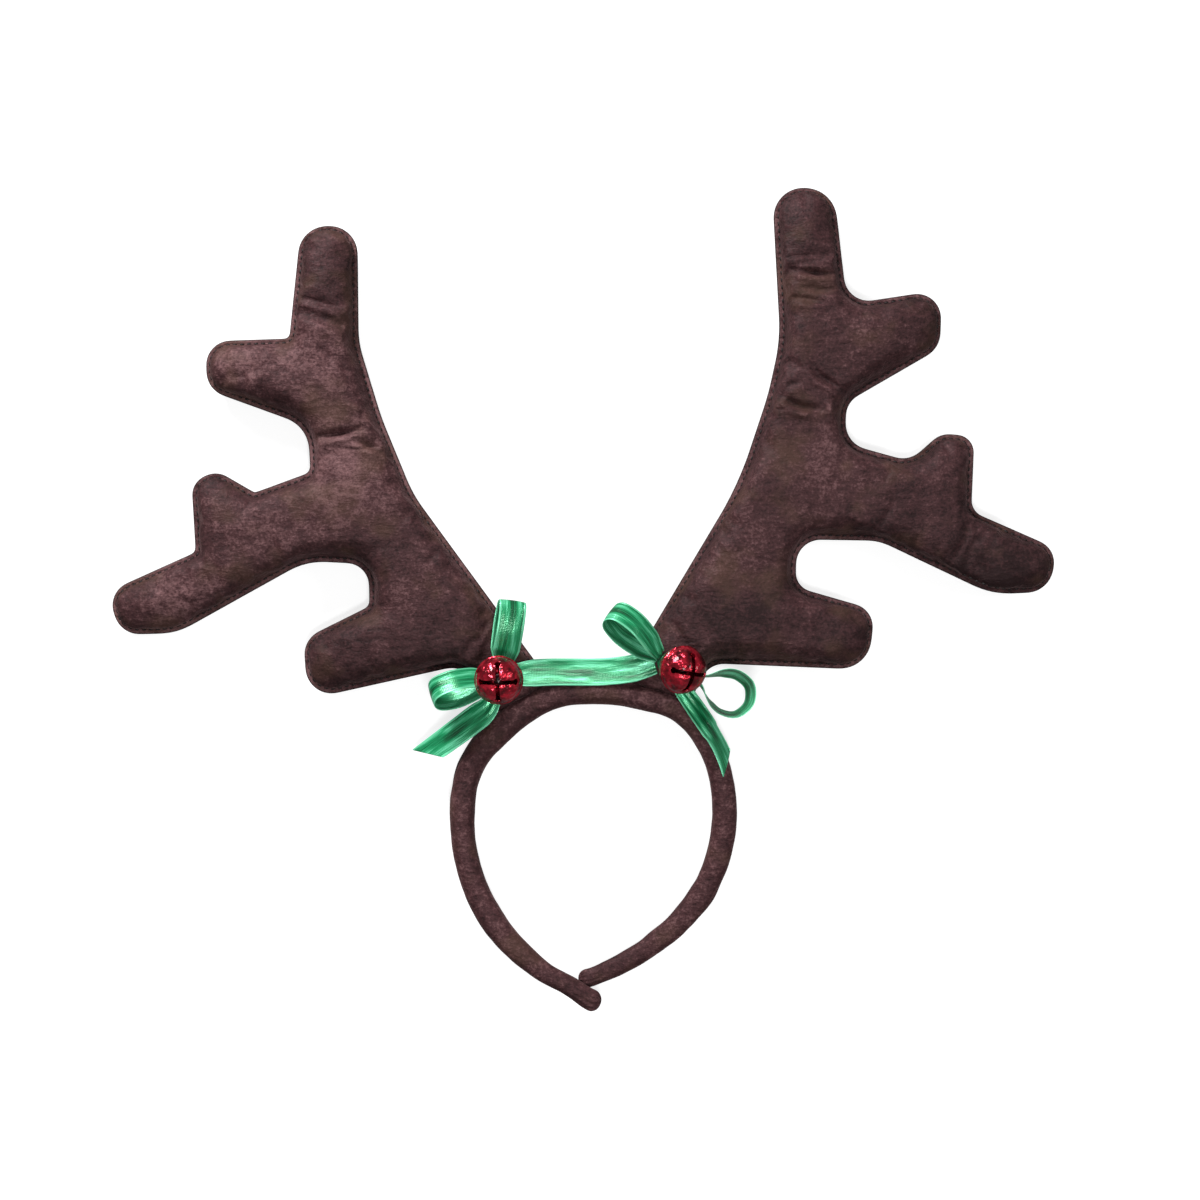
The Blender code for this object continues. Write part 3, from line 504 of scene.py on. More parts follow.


# pixel right, pixel down, radius in pixels, how much lighter the painted light makes the felt (painted
# shade below 0)
PAINTED_LIGHT_PATCHES = (
    (345, 440, 50, 0.085), (375, 360, 34, 0.07), (445, 590, 42, 0.055), (245, 368, 36, 0.05),
    (165, 590, 46, 0.085), (700, 480, 50, 0.05), (745, 430, 40, 0.03), (855, 325, 36, 0.02),
    (330, 270, 40, -0.07), (392, 556, 44, -0.06), (345, 655, 44, -0.06), (810, 612, 52, -0.06),
    (1000, 560, 50, -0.12), (440, 620, 46, -0.10), (738, 606, 46, -0.09), (812, 225, 36, -0.04),
    (822, 368, 40, -0.07), (705, 625, 44, -0.05),
)


def painted_patch_tone(places):
    """The painted light and painted shade at each place, as a change of tone."""
    tone = numpy.zeros(len(places))
    for right, down, radius, lighter in PAINTED_LIGHT_PATCHES:
        centre = numpy.array(spot(right, down, 0.018).to_2d())
        away = numpy.linalg.norm(places - centre, axis=1) / (radius * PIXEL)
        tone += lighter * numpy.exp(-(away**2))
    return tone


print("folds:", len(FOLDS), "painted light patches:", len(PAINTED_LIGHT_PATCHES))

# %% [markdown]
# The flat panel is filled with an even grid of points and cut into triangles. Distances to a ring are
# needed again and again, so one helper works them out for all points at once.

# %% Flat panels
FLANGE = 0.0021
RING_INSETS = (0.0, 0.0009, 0.0016, FLANGE, 0.0027, 0.0042)
NEEDLE_RING = RING_INSETS.index(FLANGE)
FILL_STEP = 0.0024


def distances(points, line):
    """For each point, its distance to an open line and how far along the line that is."""
    starts = numpy.array(line[:-1], float)
    runs = numpy.array(line[1:], float) - starts
    lengths = numpy.linalg.norm(runs, axis=1)
    before = numpy.concatenate(([0.0], numpy.cumsum(lengths)[:-1]))
    away = numpy.empty(len(points))
    along = numpy.empty(len(points))
    for i, point in enumerate(numpy.array(points, float)):
        share = ((point - starts) * runs).sum(1) / lengths**2
        share = numpy.clip(share, 0.0, 1.0)
        gaps = numpy.linalg.norm(starts + runs * share[:, None] - point, axis=1)
        best = int(gaps.argmin())
        away[i] = gaps[best]
        along[i] = before[best] + share[best] * lengths[best]
    return away, along


def within(points, polygon):
    """Which points lie inside a closed polygon."""
    points = numpy.array(points, float)
    corners = numpy.array(polygon, float)
    odd = numpy.zeros(len(points), bool)
    for a, b in zip(corners, numpy.roll(corners, -1, axis=0)):
        if a[1] != b[1]:
            straddles = (a[1] > points[:, 1]) != (b[1] > points[:, 1])
            crossing = a[0] + (b[0] - a[0]) * (points[:, 1] - a[1]) / (b[1] - a[1])
            odd ^= straddles & (points[:, 0] < crossing)
    return odd


def even_grid(polygon, step):
    """Points of a triangular grid inside a polygon, clear of its line."""
    low = numpy.min(polygon, axis=0)
    high = numpy.max(polygon, axis=0)
    row_step = step * math.sqrt(0.75)
    grid = []
    for row in range(math.ceil((high[1] - low[1]) / row_step)):
        stagger = 0.5 if row % 2 else 0.0
        for column in range(math.ceil((high[0] - low[0]) / step)):
            grid.append((low[0] + (column + stagger) * step, low[1] + row * row_step))
    grid = numpy.array(grid)[within(grid, polygon)]
    away, _ = distances(grid, polygon + polygon[:1])
    return grid[away > 0.6 * step]


def flat_panel(side):
    """Points and triangles of a panel, its needle line, and which ring each point is on."""
    corners = pattern_corners(side)
    points = []
    rings = []
    links = []
    for number, inset in enumerate(RING_INSETS):
        ring = draw_ring(inset_corners(corners, inset))
        if number == 0:
            start = corners[-1][0]
            run = corners[0][0] - start
            cuts = math.ceil(run.length / RING_STEP)
            ring = ring + [start + run * (k / cuts) for k in range(1, cuts)]
        first = len(points)
        count = len(ring)
        drawn = count if number == 0 else count - 1
        links += [(first + i, first + (i + 1) % count) for i in range(drawn)]
        points += ring
        rings += [number] * count
        if number == NEEDLE_RING:
            needle_line = ring
    grid = []
    for step, fine in ((FILL_STEP, False), (0.5 * FILL_STEP, True)):
        filling = even_grid(ring, step)
        filling = filling[near_fold(side, filling) == fine]
        grid += [Vector(place) for place in filling]
    found = delaunay_2d_cdt(points + grid, links, [], 1, 1e-7)
    rings += [len(RING_INSETS)] * len(grid)
    kept = [rings[origin[0]] for origin in found[3]]
    flat = [Vector(point) for point in found[0]]
    return flat, [list(triangle) for triangle in found[2]], needle_line, numpy.array(kept)


panels = {side: flat_panel(side) for side in OUTLINES}
for side, (flat, triangles, _, _) in panels.items():
    print(side, "panel:", len(flat), "points,", len(triangles), "triangles")

# %% [markdown]
# ## How stuffing lifts a panel
# A sheet held down along the needle line and pushed up evenly takes the shape of a soap film. Each
# point is moved again and again to the average of its neighbours plus a small lift, until nothing
# changes. The square root of that height rises steeply at the seam, as stuffed felt does.

# %% The soap film
PUFF = 0.0115
FOOT_PUFF = 0.0052
PUFF_RATE = 1.5


def soap_film(flat, triangles, held):
    """Heights of a film over a flat panel, with the held points at their own heights."""
    pairs = {tuple(sorted((t[i - 1], t[i]))) for t in triangles for i in range(3)}
    pairs = numpy.array(sorted(pairs))
    places = numpy.array(flat, float)
    lengths = numpy.linalg.norm(places[pairs[:, 0]] - places[pairs[:, 1]], axis=1)
    count = len(flat)
    ends = numpy.concatenate((pairs[:, 0], pairs[:, 1]))
    others = numpy.concatenate((pairs[:, 1], pairs[:, 0]))
    weights = numpy.tile(1.0 / numpy.maximum(lengths, 2e-4), 2)
    total = numpy.bincount(ends, weights, count)
    lift = numpy.bincount(ends, weights * numpy.tile(lengths, 2) ** 2, count) / total / 4.0
    height = numpy.zeros(count)
    for number, value in held.items():
        height[number] = value
    fixed = numpy.array(sorted(held))
    values = height[fixed]
    for _ in range(3000):
        height = numpy.bincount(ends, weights * height[others], count) / total + lift
        height[fixed] = values
    return height


def foot_height(point, side):
    """Height of the padding at the foot, an arch between the two ends of the needle line."""
    start = Vector(FEET[side]["inner"])
    end = Vector(FEET[side]["outer"])
    run = end - start
    share = (point - start).dot(run) / run.length_squared
    away = abs(cross_2d(run.normalized(), point - start))
    if away > 1e-5 or not -1e-4 < share < 1.0001:
        return None
    margin = FLANGE / run.length
    span = (share - 0.5) / (0.5 - margin)
    return FOOT_PUFF * math.sqrt(max(0.0, 1.0 - span * span))


def puffed(side):
    flat, triangles, _, rings = panels[side]
    held = {}
    for number, (point, ring) in enumerate(zip(flat, rings)):
        if ring <= NEEDLE_RING:
            held[number] = 0.0
        arch = foot_height(point, side)
        if arch is not None:
            held[number] = (math.atanh(arch / PUFF) * PUFF / PUFF_RATE) ** 2
    film = soap_film(flat, triangles, held)
    return PUFF * numpy.tanh(PUFF_RATE * numpy.sqrt(numpy.maximum(film, 0.0)) / PUFF)


puffs = {side: puffed(side) for side in panels}
for side, puff in puffs.items():
    print(side, "padding stands up to", round(puff.max() / MM, 1), "mm above the seam")

# %% [markdown]
# ## Puckers and lumps
# Short puckers stand along the needle line, where the thread draws the felt in, and slow lumps show
# where the stuffing is thick. Both come from smooth noise.

# %% Puckers and lumps
PUCKER_SPACING = 0.0062
PUCKER_REACH = 0.0065
PUCKER_HEIGHT = 0.0011
HELD_BY_THREAD = 0.0016
LUMP_SIZE = 0.026
LUMP_HEIGHT = 0.0014
DENT_SIZE = 0.009
DENT_HEIGHT = 0.0006


def puckers(away, along, seed):
    """Small waves that stand across the needle line and die out inside the panel."""
    waves = [noise.noise(Vector((value / PUCKER_SPACING, seed, 0.0))) for value in along]
    fade = numpy.exp(-((away / PUCKER_REACH) ** 2)) * numpy.clip(away / HELD_BY_THREAD, 0.0, 1.0)
    return PUCKER_HEIGHT * numpy.array(waves) * fade


def lumps(places, seed):
    slow = [noise.noise(Vector((x / LUMP_SIZE, y / LUMP_SIZE, seed))) for x, y in places]
    quick = [noise.noise(Vector((x / DENT_SIZE, y / DENT_SIZE, seed + 7.0))) for x, y in places]
    return LUMP_HEIGHT * numpy.array(slow) + DENT_HEIGHT * numpy.array(quick)


print("pucker 3 mm inside the seam in mm:", round(puckers(numpy.array([0.003]), [0.05], 11.0)[0] / MM, 2))

# %% [markdown]
# ## One stuffed antler
# The front sheet, the back sheet and the two thicknesses of cut edge between them are joined into one
# closed body. Blender's Cloth then pumps it up: the flange is pinned, the felt is a little larger than
# the pattern, and the pressure inside makes it strain and buckle the way stuffing does. The pattern is
# ten times life size while it is pumped up, because Cloth is steadier on large meshes. Every point's
# movement is capped, the folds are pressed in afterwards, and the back is kept on the floor.

# %% Joining the sheets
FELT = 0.0012
NEEDLE_GROOVE = 0.00045


def clear_selection():
    bpy.ops.object.select_all(action="DESELECT")


def show_alone(piece):
    """Makes a piece the only selected and the active one, ready for operators."""
    clear_selection()
    piece.select_set(True)
    bpy.context.view_layer.objects.active = piece


def add_piece(name, mesh, material):
    piece = bpy.data.objects.new(name, mesh)
    bpy.context.scene.collection.objects.link(piece)
    mesh.materials.append(material)
    return piece


def apply_modifiers(piece):
    show_alone(piece)
    for modifier in list(piece.modifiers):
        bpy.ops.object.modifier_apply(modifier=modifier.name)


def slice_mesh(piece, planes):
    """Cuts edges into a mesh along planes, each given by a point and its normal."""
    show_alone(piece)
    bpy.ops.object.mode_set(mode="EDIT")
    for point, normal in planes:
        bpy.ops.mesh.select_all(action="SELECT")
        bpy.ops.mesh.bisect(plane_co=point, plane_no=normal)
    bpy.ops.mesh.select_all(action="DESELECT")
    bpy.ops.object.mode_set(mode="OBJECT")


def smooth_once(piece):
    subdivision = piece.modifiers.new("smooth", "SUBSURF")
    subdivision.levels = 1
    subdivision.render_levels = 1
    apply_modifiers(piece)
    piece.data.shade_smooth()


def write_values(mesh, name, values):
    attribute = mesh.attributes.new(name, "FLOAT", "POINT")
    attribute.data.foreach_set("value", values.astype(numpy.float32))


def face_outwards(mesh):
    bm = bmesh.new()
    bm.from_mesh(mesh)
    bmesh.ops.recalc_face_normals(bm, faces=bm.faces)
    bm.to_mesh(mesh)
    bm.free()


def antler_mesh(side):
    """Front and back sheet joined along the cut edge, each point with its share of the padding."""
    flat, triangles, _, rings = panels[side]
    places = numpy.array(flat, float)
    puff = puffs[side]
    count = len(flat)
    pairs = {}
    for t in triangles:
        for i in range(3):
            pair = tuple(sorted((t[i - 1], t[i])))
            pairs[pair] = pairs.get(pair, 0) + 1
    rim = [pair for pair, uses in pairs.items() if uses == 1]
    most = MIDDLE_PLANE - FELT - 0.0004
    back = most * numpy.tanh(1.25 * puff / most)
    wave = numpy.array([noise.noise(Vector((x / 0.012, y / 0.012, 3.0))) for x, y in places])
    flange = rings <= NEEDLE_RING
    front_z = MIDDLE_PLANE + FELT + puff + numpy.where(flange, 0.0004 * wave, 0.0)
    back_z = MIDDLE_PLANE - FELT - back + numpy.where(flange, 0.0004 * wave, 0.0)
    drawn_in = numpy.where(rings == NEEDLE_RING, NEEDLE_GROOVE, 0.0)
    front_z -= drawn_in
    back_z += drawn_in
    rim_points = sorted({number for pair in rim for number in pair})
    middle = {number: 2 * count + k for k, number in enumerate(rim_points)}
    groove = [(places[n][0], places[n][1], 0.5 * (front_z[n] + back_z[n])) for n in rim_points]
    corners = [(x, y, z) for (x, y), z in zip(places, front_z)]
    corners += [(x, y, z) for (x, y), z in zip(places, back_z)]
    faces = [tuple(t) for t in triangles]
    faces += [tuple(n + count for n in reversed(t)) for t in triangles]
    for a, b in rim:
        faces.append((a, b, middle[b], middle[a]))
        faces.append((middle[a], middle[b], b + count, a + count))
    mesh = bpy.data.meshes.new(f"antler_{side}_felt")
    mesh.from_pydata(corners + groove, [], faces)
    face_outwards(mesh)
    # these two attributes mark where painted shade darkens the felt along the needle groove and along the
    # cut edge
    for name, ring, in_groove in (("seam", NEEDLE_RING, False), ("edge", 0, True)):
        mask = [rings == ring, rings == ring, numpy.full(len(groove), in_groove)]
        write_values(mesh, name, numpy.concatenate(mask))
    return mesh


def corner_places(mesh):
    places = numpy.empty(3 * len(mesh.vertices))
    mesh.vertices.foreach_get("co", places)
    return places.reshape(-1, 3)


def set_places(mesh, places):
    mesh.vertices.foreach_set("co", numpy.asarray(places, float).ravel())
    mesh.update()


antlers = {}
for side in OUTLINES:
    antlers[side] = add_piece(f"antler_{side}_felt", antler_mesh(side), antler_felt)
    print(side, "antler:", len(antlers[side].data.vertices), "points before it is stuffed")

# %% Stuffing the antlers
ENLARGED = 10.0
MOST_MOVED = 0.0016
PRESSURE = 3.0
LAST_FRAME = 16


def stuff(piece, pinned):
    """Pumps a closed sheet up with Cloth and returns the moved places, capped."""
    before = corner_places(piece.data)
    set_places(piece.data, before * ENLARGED)
    group = piece.vertex_groups.new(name="pinned")
    group.add([int(n) for n in numpy.nonzero(pinned)[0]], 1.0, "REPLACE")
    cloth = piece.modifiers.new("stuffing", "CLOTH")
    cloth.settings.quality = 6
    cloth.settings.mass = 0.35
    cloth.settings.tension_stiffness = 25.0
    cloth.settings.compression_stiffness = 12.0
    cloth.settings.shear_stiffness = 8.0
    cloth.settings.bending_stiffness = 0.6
    cloth.settings.vertex_group_mass = "pinned"
    cloth.settings.shrink_min = -0.05
    cloth.settings.use_pressure = True
    cloth.settings.uniform_pressure_force = PRESSURE
    cloth.settings.effector_weights.gravity = 0.0
    cloth.collision_settings.use_collision = False
    scene = bpy.context.scene
    for number in range(1, LAST_FRAME + 1):
        scene.frame_set(number)
    shape = piece.evaluated_get(bpy.context.evaluated_depsgraph_get())
    after = corner_places(shape.data) / ENLARGED
    piece.modifiers.remove(cloth)
    piece.vertex_groups.clear()
    scene.frame_set(1)
    moved = after - before
    length = numpy.linalg.norm(moved, axis=1)
    short = numpy.minimum(1.0, MOST_MOVED / numpy.maximum(length, 1e-9))
    print(piece.name, "moved by up to", round(length.max() / MM, 2), "mm before the cap")
    return before + moved * short[:, None]


for side, piece in antlers.items():
    flat, _, _, rings = panels[side]
    tail = [True] * (len(piece.data.vertices) - 2 * len(flat))
    at_foot = numpy.array([foot_height(point, side) is not None for point in flat])
    sheet_pinned = (rings <= NEEDLE_RING) | at_foot
    pinned = numpy.concatenate((sheet_pinned, sheet_pinned, tail))
    set_places(piece.data, stuff(piece, pinned))
    smooth_once(piece)

# %% [markdown]
# The folds are narrower than the triangles of the pattern, so they are pressed in after the mesh has
# been smoothed into smaller faces. They fade out towards the needle line, where the felt is held.
# Painted shade darkens their valleys and painted light lightens their ridges. Painted shade also darkens
# the felt just inside the needle line, and the flange outside it is painted lighter.

# %% Pressing in the folds
SEEDS = {"left": 11.0, "right": 23.0}
SEAM_REACH = 0.0038
# painted shade in the fold valleys and painted light on their ridges per metre of fold depth, painted shade
# just inside the needle line with its reach, and painted light on the flange
FOLD_PAINT_PER_METRE = 28.0
PAINTED_SHADE_BESIDE_SEAM = 0.085
PAINTED_SHADE_REACH = 0.0032
PAINTED_LIGHT_ON_FLANGE = 0.08

for side, piece in antlers.items():
    needle_line = panels[side][2]
    places = corner_places(piece.data)
    plan = places[:, :2]
    away, along = distances(plan, needle_line)
    inner = within(plan, needle_line)
    share = numpy.where(inner, 1.0 - numpy.exp(-((away / SEAM_REACH) ** 2)), 0.0)
    seed = SEEDS[side]
    front = puckers(away, along, seed) + (lumps(plan, seed) - fold_depth(side, plan)) * share
    rear = puckers(away, along, seed + 1.0) + 0.6 * lumps(plan, seed + 2.0) * share
    is_front = places[:, 2] > MIDDLE_PLANE
    places[:, 2] += numpy.where(inner, numpy.where(is_front, front, -rear), 0.0)
    places[:, 2] = numpy.maximum(places[:, 2], 0.0002)
    set_places(piece.data, places)
    # painted shade in the fold valleys and painted light on their ridges, painted shade inside the needle
    # line and painted light on the flange, all added to the felt's tone
    painted_fold_light_and_shade = -FOLD_PAINT_PER_METRE * numpy.where(is_front & inner, fold_depth(side, plan), 0.0)
    painted_seam_shade = -PAINTED_SHADE_BESIDE_SEAM * numpy.exp(-away / PAINTED_SHADE_REACH)
    painted_seam_shade_and_flange_light = numpy.where(inner, painted_seam_shade, PAINTED_LIGHT_ON_FLANGE)
    write_values(piece.data, "felt_tone_and_painted_light", painted_patch_tone(plan) + painted_fold_light_and_shade + painted_seam_shade_and_flange_light)
    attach(piece, "root")
    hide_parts(f"antler_{side}_front", f"antler_{side}_back")
    heights = corner_places(piece.data)[:, 2]
    print(piece.name, "stands from", round(heights.min() / MM, 1), "to", round(heights.max() / MM, 1), "mm")

# %% [markdown]
# ## Needle line
# The antlers are sewn with dark thread in a straight lockstitch, a stitch every 3 mm. One
# stitch is modelled as a short thread that dips into the felt at both ends. It is copied along the
# front and the back of the needle line, and all copies of one antler are one mesh.

# %% One stitch
STITCH_LENGTH = 0.0018
STITCH_PITCH = 0.0031
THREAD_RADIUS = 0.00050
THREAD_RAISED = 0.0003
THREAD_DIP = 0.00052

clear_selection()
bpy.ops.mesh.primitive_cylinder_add(
    vertices=6, radius=THREAD_RADIUS, depth=STITCH_LENGTH, rotation=(0.0, math.radians(90), 0.0))
stitch = bpy.context.object
stitch.name = "one_stitch"
bpy.ops.object.transform_apply(location=False, rotation=True, scale=False)
slice_mesh(stitch, [((cut * STITCH_LENGTH, 0.0, 0.0), (1.0, 0.0, 0.0)) for cut in (-0.3, 0.0, 0.3)])
for vertex in stitch.data.vertices:
    share = 2.0 * vertex.co.x / STITCH_LENGTH
    vertex.co.z -= THREAD_DIP * share**4
    vertex.co.y *= 1.0 - 0.35 * share**4
stitch_shape = corner_places(stitch.data)
stitch_faces = [tuple(face.vertices) for face in stitch.data.polygons]
bpy.data.objects.remove(stitch, do_unlink=True)
print("faces in a stitch:", len(stitch_faces))

# %% Thread
thread = Finish("dark_thread", roughness=0.6, specular_ior_level=0.3)
twist = thread.speckle(thread.place(), 0.0016, 1.0)
twist_colour = thread.blend(twist, (0.004, 0.002, 0.002), (0.014, 0.007, 0.007))
thread.surface(twist_colour, None, thread.speckle(thread.place(), 0.0003), 0.0001)


def lay_stitches(name, seats):
    """One mesh with a stitch at each seat: a place, a direction along the thread, and an up."""
    corners = []
    faces = []
    for place, along, up in seats:
        side = up.cross(along).normalized()
        turned = numpy.array((along.normalized(), side, along.cross(side).normalized())).T
        if turned[:, 2] @ numpy.array(up) < 0.0:
            turned[:, 1:] *= -1.0
        first = len(corners)
        corners.extend(stitch_shape @ turned.T + numpy.array(place))
        faces.extend(tuple(first + n for n in face) for face in stitch_faces)
    mesh = bpy.data.meshes.new(name)
    mesh.from_pydata([tuple(c) for c in corners], [], faces)
    face_outwards(mesh)
    piece = add_piece(name, mesh, thread.material)
    piece.data.shade_smooth()
    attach(piece, "root")
    return piece


for side, piece in antlers.items():
    line = panels[side][2]
    tree = BVHTree.FromObject(piece, bpy.context.evaluated_depsgraph_get())
    seats = []
    travelled = 0.5 * STITCH_PITCH
    for a, b in zip(line, line[1:]):
        run = b - a
        while travelled < run.length:
            place = a + run.normalized() * travelled
            along = Vector((run.x, run.y, 0.0)).normalized()
            for up in (1.0, -1.0):
                start = Vector((place.x, place.y, MIDDLE_PLANE + up * 0.05))
                hit = tree.ray_cast(start, Vector((0.0, 0.0, -up)))
                if hit[0] is not None:
                    raised = hit[0] + Vector((0.0, 0.0, up * THREAD_RAISED))
                    seats.append((raised, along, Vector((0.0, 0.0, up))))
            travelled += STITCH_PITCH
        travelled -= run.length
    stitches = lay_stitches(f"antler_{side}_stitches", seats)
    print(stitches.name, "has", len(seats), "stitches")

# %% [markdown]
# ## The hair band
# A flexible plastic band is wrapped in wadding and a sleeve of the same felt. The sleeve is drawn over
# it like a sock and gathered at both ends into a small knob. The middle line is a table of stations
# from the left end over the crown to the right end. A ring of points is drawn at each station, and
# noise makes the sleeve as uneven as hand-pulled fabric.

# %% Stations of the band
HOOP_MIDDLE = Vector((0.004705, -0.100272, 0.0))
HOOP_RADIUS = 0.059
BAND_THICKNESS = 0.011
BAND_DEPTH = 0.018
BAND_END_DEPTH = 0.009
CLEAR = 0.0003
# station, degrees from the crown, then as shares: reach, thickness, how slim and how far raised
BAND_TABLE = (
    ("left end", -179.0, 1.29, 0.86, 1.00, 1.00),
    ("left end neck", -173.0, 1.22, 0.76, 1.00, 1.00),
    ("left low", -161.0, 1.147, 0.84, 0.85, 0.85),
    ("left lower bend", -143.0, 1.065, 0.96, 0.60, 0.60),
    ("left below side", -124.0, 1.012, 1.02, 0.40, 0.34),
    ("left side low", -105.0, 0.985, 0.98, 0.26, 0.15),
    ("left side", -87.0, 0.985, 1.00, 0.16, 0.05),
    ("left side high", -65.0, 1.02, 1.04, 0.08, 0.00),
    ("left shoulder", -41.0, 1.005, 1.18, 0.00, 0.00),
    ("left of crown", -20.0, 1.015, 1.06, 0.00, 0.00),
    ("crown", 0.0, 1.00, 1.00, 0.00, 0.00),
    ("right of crown", 20.0, 1.02, 1.00, 0.00, 0.00),
    ("right shoulder", 37.0, 1.075, 0.98, 0.00, 0.00),
    ("right side high", 55.0, 1.05, 0.95, 0.08, 0.00),
    ("right side", 80.0, 0.99, 1.00, 0.18, 0.00),
    ("right side low", 100.0, 0.96, 1.00, 0.30, 0.00),
    ("right below side", 118.0, 0.957, 1.00, 0.45, 0.00),
    ("right lower bend", 136.0, 0.965, 0.94, 0.65, 0.00),
    ("right low", 156.0, 1.003, 0.84, 0.85, 0.00),
    ("right end neck", 173.0, 1.086, 0.76, 1.00, 0.00),
    ("right end", 182.0, 1.15, 0.74, 1.00, 0.00),
)


def curve_through(table, column, places):
    """Smooth values of one column of a table, read at places of its first number column."""
    knots = numpy.array([row[1] for row in table])
    values = numpy.array([row[column] for row in table])
    slopes = numpy.gradient(values, knots)
    places = numpy.clip(places, knots[0], knots[-1])
    left = numpy.clip(numpy.searchsorted(knots, places, side="right") - 1, 0, len(knots) - 2)
    span = knots[left + 1] - knots[left]
    t = (places - knots[left]) / span
    rise = values[left + 1] - values[left]
    start = slopes[left] * span
    end = slopes[left + 1] * span
    return values[left] + start * t + (3 * rise - 2 * start - end) * t**2 + (start + end - 2 * rise) * t**3


def band_middle(turn):
    reach = HOOP_RADIUS * float(curve_through(BAND_TABLE, 2, turn))
    angle = math.radians(turn)
    return HOOP_MIDDLE + Vector((reach * math.sin(angle), reach * math.cos(angle), 0.0))


def band_outward(turn):
    along = (band_middle(turn + 0.5) - band_middle(turn - 0.5)).normalized()
    return Vector((-along.y, along.x, 0.0))


def band_half_depth(turn):
    slim = min(1.0, max(0.0, float(curve_through(BAND_TABLE, 4, turn))))
    return 0.5 * (BAND_DEPTH + (BAND_END_DEPTH - BAND_DEPTH) * slim)


def band_height(turn):
    raised = min(1.0, max(0.0, float(curve_through(BAND_TABLE, 5, turn))))
    return band_half_depth(turn) + (BAND_END_DEPTH + CLEAR) * raised


def band_half_thickness(turn):
    return 0.5 * BAND_THICKNESS * float(curve_through(BAND_TABLE, 3, turn))


print("crown of the band in mm:", [round(v / MM, 1) for v in band_middle(0.0)])

# %% The sleeve
BAND_STATIONS = 300
BAND_SIDES = 44
BAND_SQUARENESS = 2.7


def sleeve_ring(turn, push, scale, gather):
    """One ring of the sleeve. gather: 0 on the smooth sleeve, 1 where it is drawn together."""
    outward = band_outward(turn)
    along = Vector((outward.y, -outward.x, 0.0))
    half = band_half_thickness(turn) * scale
    deep = band_half_depth(turn) * scale
    centre = band_middle(turn) + along * push + Vector((0.0, 0.0, band_height(turn)))
    power = 2.0 / BAND_SQUARENESS
    ring = []
    for k in range(BAND_SIDES):
        angle = 2.0 * math.pi * k / BAND_SIDES
        across = abs(math.sin(angle)) ** power * math.copysign(1.0, math.sin(angle))
        up = abs(math.cos(angle)) ** power * math.copysign(1.0, math.cos(angle))
        place = centre + outward * (half * across) + Vector((0.0, 0.0, deep * up))
        away = (place - centre).normalized() if scale > 0.01 else along
        slow = noise.noise(place / 0.012)
        quick = noise.noise(place / 0.0045 + Vector((5.0, 0.0, 0.0)))
        pleat = math.cos(11.0 * angle + 2.0 * math.sin(3.0 * angle))
        lift = 0.00045 * slow + 0.00016 * quick + 0.00038 * gather * pleat * min(1.0, 2.5 * scale)
        place = place + away * lift
        place.z = max(place.z, 0.0)
        ring.append(place)
    return ring


def closed_tube(name, rings, material):
    """A tube through rings of equal count, closed by a point at each end."""
    count = len(rings[0])
    corners = [tuple(point) for ring in rings for point in ring]
    faces = []
    for r in range(len(rings) - 1):
        for k in range(count):
            j = (k + 1) % count
            faces.append((r * count + k, r * count + j, (r + 1) * count + j, (r + 1) * count + k))
    for ring, first in ((rings[0], 0), (rings[-1], (len(rings) - 1) * count)):
        middle = sum(ring, Vector()) / count
        corners.append(tuple(middle))
        faces += [(first + k, first + (k + 1) % count, len(corners) - 1) for k in range(count)]
    mesh = bpy.data.meshes.new(name)
    mesh.from_pydata(corners, [], faces)
    face_outwards(mesh)
    return add_piece(name, mesh, material)


first_turn = BAND_TABLE[0][1]
last_turn = BAND_TABLE[-1][1]
rings = []
for turn in numpy.linspace(first_turn, last_turn, BAND_STATIONS):
    gather = max(0.0, 1.0 - (turn - first_turn) / 9.0, 1.0 - (last_turn - turn) / 9.0)
    rings.append(sleeve_ring(float(turn), 0.0, 1.0, gather))
knob = 0.42 * BAND_THICKNESS
for degrees in range(12, 90, 9):
    angle = math.radians(degrees)
    rings.insert(0, sleeve_ring(first_turn, -knob * math.sin(angle), math.cos(angle), 1.0))
    rings.append(sleeve_ring(last_turn, knob * math.sin(angle), math.cos(angle), 1.0))
# the sleeve uses the copy of the felt that is painted lighter
band = closed_tube("band_sleeve", rings, band_felt)
smooth_once(band)
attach(band, "root")
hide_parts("band")
print("rings in the sleeve:", len(rings))

# %% [markdown]
# ## Satin ribbon
# Satin ribbon is woven so that fine bright threads float over the surface along its length, and each
# edge has a tighter woven border. The pattern follows the ribbon, so it is drawn on the ribbon's own UV
# map, whose two directions are metres along and metres across. Fine lines along the length make the
# highlights streak, soft folds a few millimetres wide run the same way, faint ribs run across, and the
# border is raised. The colour carries painted shade and painted highlight along the folds' streaks, from
# dark green to mint, and the border is painted lighter as a highlight.

# %% The satin finish
RIBBON_WIDTH = 0.012


